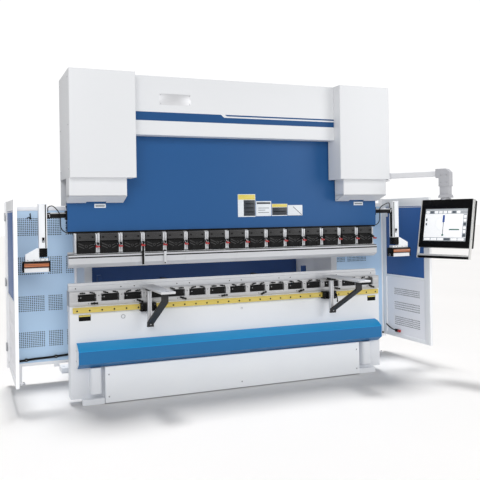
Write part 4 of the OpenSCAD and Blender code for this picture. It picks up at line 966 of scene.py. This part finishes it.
def console():
    ex, ey, _ = joint("console_swivel")
    ax, ay, z = joint("console_arm_swing")

    p = Piece("console_hinge_bracket", FRAME, GREY_PAINT, STEEL)
    p.box((COVER, ay - 60, z - 60), (1568, ay + 60, z + 60), r=2)
    for dz in (-52, 40):
        p.prism([(1566, ay - 34), (1620, ay - 34), (1650, ay - 16), (1650, ay + 16),
                 (1620, ay + 34), (1566, ay + 34)], "z", z + dz, z + dz + 12, r=2)
    for dy, dz in product((-46, 46), (-46, 46)):
        p.hex_head((1568, ay + dy, z + dz), RIGHT, 7, 1)
    p.done("console_bracket", slot="white_paint")

    p = Piece("console_swing_arm", "console_arm", GREY_PAINT, JOINT_GREY, STEEL)
    reach = math.hypot(ex - ax, ey - ay)
    p.place = move(ax, ay) @ Matrix.Rotation(math.atan2(ey - ay, ex - ax), 4, "Z")
    p.disc((0, 0, z - 39), UP, 31, 78, 1, edge=4, n=32)
    p.disc((0, 0, z - 57), UP, 12, 114, 2, edge=2)
    p.box((18, -24, z - 27), (reach - 40, 24, z + 27), r=5, seg=3)
    p.box((24, -28, z - 31), (56, 28, z + 31), 1, r=5, seg=3)
    # cast elbow with a mitred corner, square drop tube, foot
    p.place = p.place @ move(reach)
    p.prism([(-52, 1857), (52, 1857), (52, z + 11), (18, z + 45), (-82, z + 45), (-82, z - 42),
             (-52, z - 42)], "y", -52, 52, 1, r=7, seg=3)
    p.prism([(-45, 1870), (45, 1870), (45, z + 6), (12, z + 38), (-70, z + 38), (-70, z - 34),
             (-45, z - 34)], "y", -53, 53, 1, r=3)
    p.box((-54, -54, 1852), (54, 54, 1862), 1, r=3)
    p.box((-46, -46, 1760), (46, 46, 1856), 1, r=6, seg=3)
    p.prism([(-56, 1742), (56, 1742), (56, 1756), (47, 1772), (-47, 1772), (-56, 1756)], "y",
            -56, 56, 1, r=4, seg=3)
    p.disc((0, 0, 1728.4), UP, 36, 18, edge=2, n=32)
    for dx, dz, s in product((-28, 28), (1890, 1960), (-1, 1)):
        p.socket_screw((dx, s * 53, dz), (0, s, 0), 5, 2)
    p.done("console_arm", slot="white_paint")

    # the console's +Y is its back; it is turned to the user and its screen leans back
    upright = move(ex, ey, 1717) @ turn(-70, "Z")
    hw, hd, hh = 270, 46, 233                     # half width, depth and height
    place = upright @ turn(-11, "X") @ move(42, 0, -hh)
    x0, x1, z0, z1 = 46 - hw, hw - 46, 62 - hh, hh - 92          # screen
    p = Piece("console_case", "console", PLASTIC, SILVER_PLASTIC, STEEL, JOINT_GREY)
    p.place = place
    # bezel as four bars round the screen, then the tray behind
    p.box((-hw, -hd, z1), (hw, 40 - hd, hh), r=4, seg=3)
    p.box((-hw, -hd, -hh), (hw, 40 - hd, z0), r=4, seg=3)
    p.box((0.3 - hw, 0.2 - hd, z0 - 8), (x0, 40 - hd, z1 + 8), r=3)
    p.box((x1, 0.2 - hd, z0 - 8), (hw - 0.3, 40 - hd, z1 + 8), r=3)
    p.box((x0 - 4, 6 - hd, z0 - 4), (x1 + 4, 38 - hd, z1 + 4), r=0.5)
    p.box((4 - hw, 34 - hd, 4 - hh), (hw - 4, hd, hh - 4), r=9, seg=3)
    p.box((1 - hw, 26 - hd, 1 - hh), (hw - 1, 34 - hd, hh - 1), 1, r=2)
    p.box((40 - hw, hd - 2, 40 - hh), (hw - 40, hd + 26, hh - 40), 1, r=6, seg=3)
    for z in range(-60, 37, 16):
        p.box((-120, hd + 24, z), (120, hd + 27, z + 6), r=1)
    for x, z in product((-200, 200), (-160, 160)):
        p.socket_screw((x, hd + 26, z), BACK, 5, 2)
    # membrane keys under the screen, without lettering
    for x in range(-210, -9, 40):
        p.box((x, -hd - 0.8, 20 - hh), (x + 24, 1 - hd, 34 - hh))
    p.place = upright
    p.lathe([(0, -14), (42, -14), (42, 2), (50, 6), (50, 18), (46, 22), (36.1, 22), (36.1, 10),
             (0, 10)], (0, 0, 0), slot=3, n=36)
    p.done("console_housing", slot="black_plastic")

    p = Piece("console_display", "console", SCREEN, SCREEN_GREY, SCREEN_LINE, SCREEN_BLUE,
              SCREEN_GREEN)
    p.place = place
    front = 2 - hd
    p.box((x0, front, z0), (x1, front + 4, z1), r=0.5)

    def spot(u, v, lift=0.0):
        """Point of the screen at shares u of its width and v of its height."""
        return x0 + (x1 - x0) * u, front - lift, z0 + (z1 - z0) * v

    def field(u0, u1, v0, v1, slot, lift=0.5):
        p.box(spot(u0, v0, lift), spot(u1, v1, -0.2), slot, r=0.15)

    # bars above, at the right and below, with their buttons; two marks at the left
    field(0, 1, 0.95, 1, 1)
    field(0, 1, 0.84, 0.945, 1)
    field(0.91, 1, 0.12, 0.83, 1)
    field(0, 1, 0, 0.11, 1)
    for k in range(8):
        field(0.02 + k * 0.105, 0.10 + k * 0.105, 0.855, 0.93, 2 if k in (1, 6) else 0, 0.8)
    for k in range(6):
        field(0.925, 0.985, 0.14 + k * 0.115, 0.22 + k * 0.115, 2 if k in (0, 3) else 0, 0.8)
        field(0.02 + k * 0.16, 0.16 + k * 0.16, 0.02, 0.09, 2 if k == 3 else 0, 0.8)
    for v in (0.48, 0.62):
        field(0.025, 0.06, v, v + 0.08, 2, 0.8)
    # tool drawing: punch shank, thin blade, die dot, a bar and the curve of the sheet
    field(0.43, 0.48, 0.58, 0.80, 3)
    field(0.448, 0.462, 0.20, 0.58, 2)
    p.disc(spot(0.455, 0.185), FRONT, 11, 0.6, 4, edge=0.1)
    field(0.60, 0.84, 0.335, 0.375, 4)
    p.tube([spot(u, v, 0.2) for u, v in ((0.40, 0.74), (0.27, 0.66), (0.27, 0.45), (0.42, 0.28))],
           0.8, 1, n=6)
    p.done("console_screen", slot="screen_glass")

    p = Piece("console_grip", "console", SILVER_PLASTIC, STEEL, PLASTIC)
    p.place = place
    low = -hh - 78
    for s in (-1, 1):
        a, b = sorted((s * hw, s * (hw + 10)))
        p.box((a, -hd - 3, low - 27), (b, 32 - hd, hh - 4), r=3)
        for z in (-150, 0, 150):
            p.socket_screw((s * (hw + 10), 14 - hd, z), (s, 0, 0), 4, 1)
    p.box((-hw - 4, -hd - 3, low - 5), (hw + 4, 26 - hd, low + 13), r=4, seg=3)
    p.box((-hw - 4, -hd, low - 27), (hw + 4, 24 - hd, low - 3), 2, r=6, seg=3)
    p.done("console_handle", slot="chrome_rod")


# ---------------------------------------------------------------- back of the machine

def rear():
    p = Piece("cabinet_case", FRAME, WHITE, STEEL, PLASTIC, ALU, RUBBER, LABEL_GREY)
    x0, x1, y0, y1, z0, z1 = OUTER, 1800, 900, 1390, 300, 1700
    t = 4
    # walls, top cover, mounting plate
    p.box((x0, y0, z0), (x0 + t, y1, z1), r=1)
    for y in (y0, y1 - t):
        p.box((x0, y, z0), (x1, y + t, z1), r=1)
    for z in (z0, z1 - t):
        p.box((x0, y0, z), (x1, y1, z + t), r=1)
    p.box((x0 - 0.2, y0 - 2, z1 - 1), (x1 + 4, y1 + 2, z1 + 6), r=3)
    p.box((x0 + t, y0 + 40, z0 + 60), (x0 + t + 6, y1 - 40, z1 - 60), 3, r=1)
    # rows of devices over wiring ducts: each kind has a width, a reach from the wall, a slot
    kinds = ((24, 70, 2), (36, 90, 5), (54, 84, 2))
    for z in (480, 820, 1160, 1500):
        p.box((x0 + 10, y0 + 60, z + 40), (x0 + 18, y1 - 60, z + 76), 3, r=1)
        p.box((x0 + 10, y0 + 70, z - 60), (x0 + 60, y1 - 70, z - 22), 5, r=2)
        y, k = y0 + 80, 0
        while y < y1 - 120:
            width, reach, slot = kinds[k % 3]
            p.box((x0 + 16, y, z), (x0 + reach, y + width - 3, z + 122), slot, r=2)
            y += width
            k += 1
    for z in CABINET_HINGES:
        p.disc((1830, 1391, z - 30), UP, 7, 30, 1)
        p.disc((1830, 1391, z), UP, 4, 28, 1)
        p.box((1792, 1390, z - 30), (1830, 1397, z), 1, r=1)
    # vent slots of the side wall and the supply cable's entry
    for z in range(1380, 1577, 28):
        p.box((1480, y1 - 1, z), (1700, y1 + 2, z + 12), r=1.2)
    p.ring((1700, 1300, z0 - 6), UP, 32, 42, 8, 4, n=32)
    p.done("electrical_cabinet", slot="white_paint")

    p = Piece("cabinet_leaf", "cabinet_door", WHITE, STEEL, PLASTIC, RED, LABEL_YELLOW)
    p.sheet([(1800.4, 1388), (1822, 1388), (1822, 902), (1800.4, 902)], "z", z0 + 2, z1 - 2, -2,
            4)
    for z in (z0 + 3, z1 - 8):
        p.box((1806, 904, z), (1819, 1386, z + 5), r=0.5)
    for z in range(1300, 1565, 24):
        p.prism([(1822, z), (1830, z + 3), (1830, z + 6), (1822, z + 15)], "y", 1000, 1290,
                r=0.8)
        p.box((1821.6, 1004, z + 14.5), (1822.4, 1286, z + 17), 2, r=0)
    # handle, main switch on its yellow plate, hinges
    p.box((1822, 932, 935), (1829, 962, 1085), 2, r=4)
    p.box((1828, 938, 965), (1842, 956, 1075), 1, r=4)
    p.disc((1828, 947, 950), RIGHT, 9, 8, 1)
    p.box((1822, 1080, 1080), (1826, 1150, 1150), 4, r=2)
    p.disc((1826, 1115, 1115), RIGHT, 24, 10, 2)
    p.box((1834, 1108, 1092), (1850, 1122, 1138), 3, r=3)
    for z in CABINET_HINGES:
        p.ring((1830, 1391, z + 1), UP, 4.05, 7, 29, 1)
        p.box((1818, 1384, z + 1), (1827, 1389, z + 30), 1, r=0.8)
    p.done("cabinet_door", slot="white_paint")

    # tank with lid and its bolts, breather, level gauge, side lids, drain plug
    p = Piece("tank_body", FRAME, WHITE, STEEL, PLASTIC, ALU)
    p.box((-INNER, 420, 1960), (INNER, 1000, 2434), r=3)
    p.box((-INNER, 414, 2434), (INNER, 1006, 2440))
    for x, y in product(range(-1241, 1242, 146), (430, 990)):
        p.hex_head((x, y, 2440), UP, 7, 1)
    p.lathe([(0, 0), (40, 0), (42, 4), (42, 8), (34, 12), (34, 24), (45, 26), (45, 40), (40, 46),
             (0, 46)], (650, 700, 2440), slot=2)
    p.box((-700, 1000, 2080), (-660, 1014, 2330), 3, r=3)
    p.box((-690, 1012, 2100), (-670, 1017, 2310), 2, r=2)
    for x in (-900, 300, 900):
        p.box((x - 120, 1000, 1990), (x + 120, 1006, 2130), r=2)
        for dx, z in product((-105, 105), (2005, 2115)):
            p.hex_head((x + dx, 1006, z), BACK, 6, 1)
    p.disc((1000, 1000, 1985), BACK, 14, 16, 1)
    p.done("oil_tank", slot="white_paint")

    # hoses, fan grille and bolts of the pump motor
    p = Piece("pump_details", FRAME, STEEL, RUBBER, MOTOR)
    y, z = 700, 2590
    p.tube([(150, y, z - 50), (150, y + 20, z - 110), (150, y + 60, 2445)], 22, 1, n=16)
    p.tube([(200, y, z + 10), (300, y - 10, z + 20), (420, y - 120, z + 40), (700, y - 160, 2600),
            (1000, y - 130, 2600), (1130, y - 60, 2620)], 12, 1, n=14)
    p.tube([(-140, y + 40, 2740), (-90, y + 60, 2745), (200, y + 120, 2560), (600, y + 250, 2450),
            (1200, y + 280, 2446)], 8, 1, n=12)
    p.ring((-404, y, z), RIGHT, 106, 119, 4, 2, n=40)
    for r in (30, 55, 80, 102):
        p.ring((-406, y, z), RIGHT, r, r + 4, 3, 2, n=36)
    for a in range(0, 180, 45):
        p.place = move(0, y, z) @ turn(a, "X")
        p.box((-407, -104, -3), (-404, 104, 3), 2, r=0.8)
    p.place = HERE
    for x, dy in product((-280, -130), (-70, 70)):
        p.hex_head((x, y + dy, 2500), UP, 8)
    p.done(slot="motor_blue")

    p = Piece("rear_beam", FRAME, DARK_BLUE)
    p.box((-INNER, 1230, 780), (INNER, 1290, 1250), r=3)
    for z in (780, 1230):
        p.box((-INNER, 1288, z), (INNER, 1350, z + 20), r=2)
    for x in range(-1200, 1201, 300):
        p.prism([(1290, 800), (1345, 800), (1345, 1230), (1290, 1230)], "x", x - 6, x + 6, r=1)
    p.done("rear_cross_beam", slot="dark_blue_paint")

    dress("side_frame_left side_frame_right", WHITE, 2.5)
    dress("foot_pads", BED_WHITE, 2)
    dress("cylinder_bodies", CAST, 3)
    dress("valve_blocks", STEEL, 2)
    dress("hydraulic_pipes", STEEL, 0)
    dress("pump_motor", MOTOR, 0.8)
    dress("motor_rotor", STEEL, 0.5)
    dress("ram_guides gauge_rails", STEEL, 1.5)
    dress("linear_scales", ALU, 1.5)
    dress("gauge_carriage", DARK_BLUE, 1.5)
    dress("gauge_beam", ALU, 1)
    dress("gauge_finger_left gauge_finger_right", BLACK, 1)
    dress("gauge_screw_left gauge_screw_right", CHROME, 0)
    dress("piston_rods", CHROME, 1)


for build in (bed, crowning, covers, ram, clamps, laser, supports, guards, console, rear):
    build()


# ---------------------------------------------------------------- stage, light and camera

def stage():
    size = 60
    data = bpy.data.meshes.new("floor")
    data.from_pydata([(-size, -size, 0), (size, -size, 0), (size, size, 0), (-size, size, 0)], [],
                     [(0, 1, 2, 3)])
    data.materials.append(surface("studio_floor", (247.57, 245.93, 244.75), 0.55, (0.008, 0.4),
                                  (0.02, 260)))
    floor = new_object("floor", data)
    floor.location.z = cad_low.z - 0.0005


def area(name, place, target, size, power, receivers):
    """Lamp that lights only the pieces of the receiving collection."""
    lamp = bpy.data.lights.new(name, "AREA")
    lamp.shape = "RECTANGLE"
    lamp.size, lamp.size_y = size
    lamp.energy = power
    obj = new_object(name, lamp)
    obj.location = place
    obj.rotation_euler = (Vector(target) - Vector(place)).to_track_quat("-Z", "Y").to_euler()
    obj.light_linking.receiver_collection = receivers


def light():
    """White studio: the camera sees a pure white background, the machine a softer dome."""
    scene = bpy.context.scene
    world = bpy.data.worlds.new("studio")
    world.use_nodes = True
    tree = world.node_tree
    back = tree.nodes["Background"]
    back.inputs["Color"].default_value = (1, 1, 1, 1)
    path = tree.nodes.new("ShaderNodeLightPath")
    power = tree.nodes.new("ShaderNodeMapRange")
    power.inputs["To Min"].default_value = 0.40
    power.inputs["To Max"].default_value = 1.05
    tree.links.new(path.outputs["Is Camera Ray"], power.inputs["Value"])
    tree.links.new(power.outputs["Result"], back.inputs["Strength"])
    scene.world = world
    sun = bpy.data.lights.new("overhead", "SUN")
    sun.energy = 2.3
    sun.angle = math.radians(13)
    new_object("overhead", sun).rotation_euler.x = math.radians(-11)
    lit = bpy.data.collections.new("machine_only")
    guarded = bpy.data.collections.new("side_guards")
    for part in scene.objects:
        if part.type == "MESH" and part.name != "floor":
            lit.objects.link(part)
            if part.name.startswith("guard_"):
                guarded.objects.link(part)
    area("guard_lamp", (-1.9, -7.2, 2.4), (0, 0.3, 1.0), (2, 2), 210, guarded)
    area("key", (-4.0, -8.5, 5.0), (0, -0.6, 1.3), (4.5, 3.5), 235, lit)
    area("fill", (5.5, -6.5, 3.5), (0, -0.6, 1.2), (4, 4), 150, lit)
    scene.view_settings.view_transform = "Standard"


def camera():
    """Camera of the photograph: eye height, yaw to the right, slight roll, level axis with the
    horizon above the picture's middle."""
    data = bpy.data.cameras.new("camera")
    data.sensor_width = 36
    data.lens = 51.07
    data.shift_y = -0.0517
    cam = new_object("camera", data)
    place = TO_ROW @ Vector((-2370, -6014, 1604))
    cam.matrix_world = move(*place) @ turn(-22.04, "Z") @ turn(90, "X") @ turn(-0.89, "Z")
    bpy.context.scene.camera = cam


stage()
light()
camera()
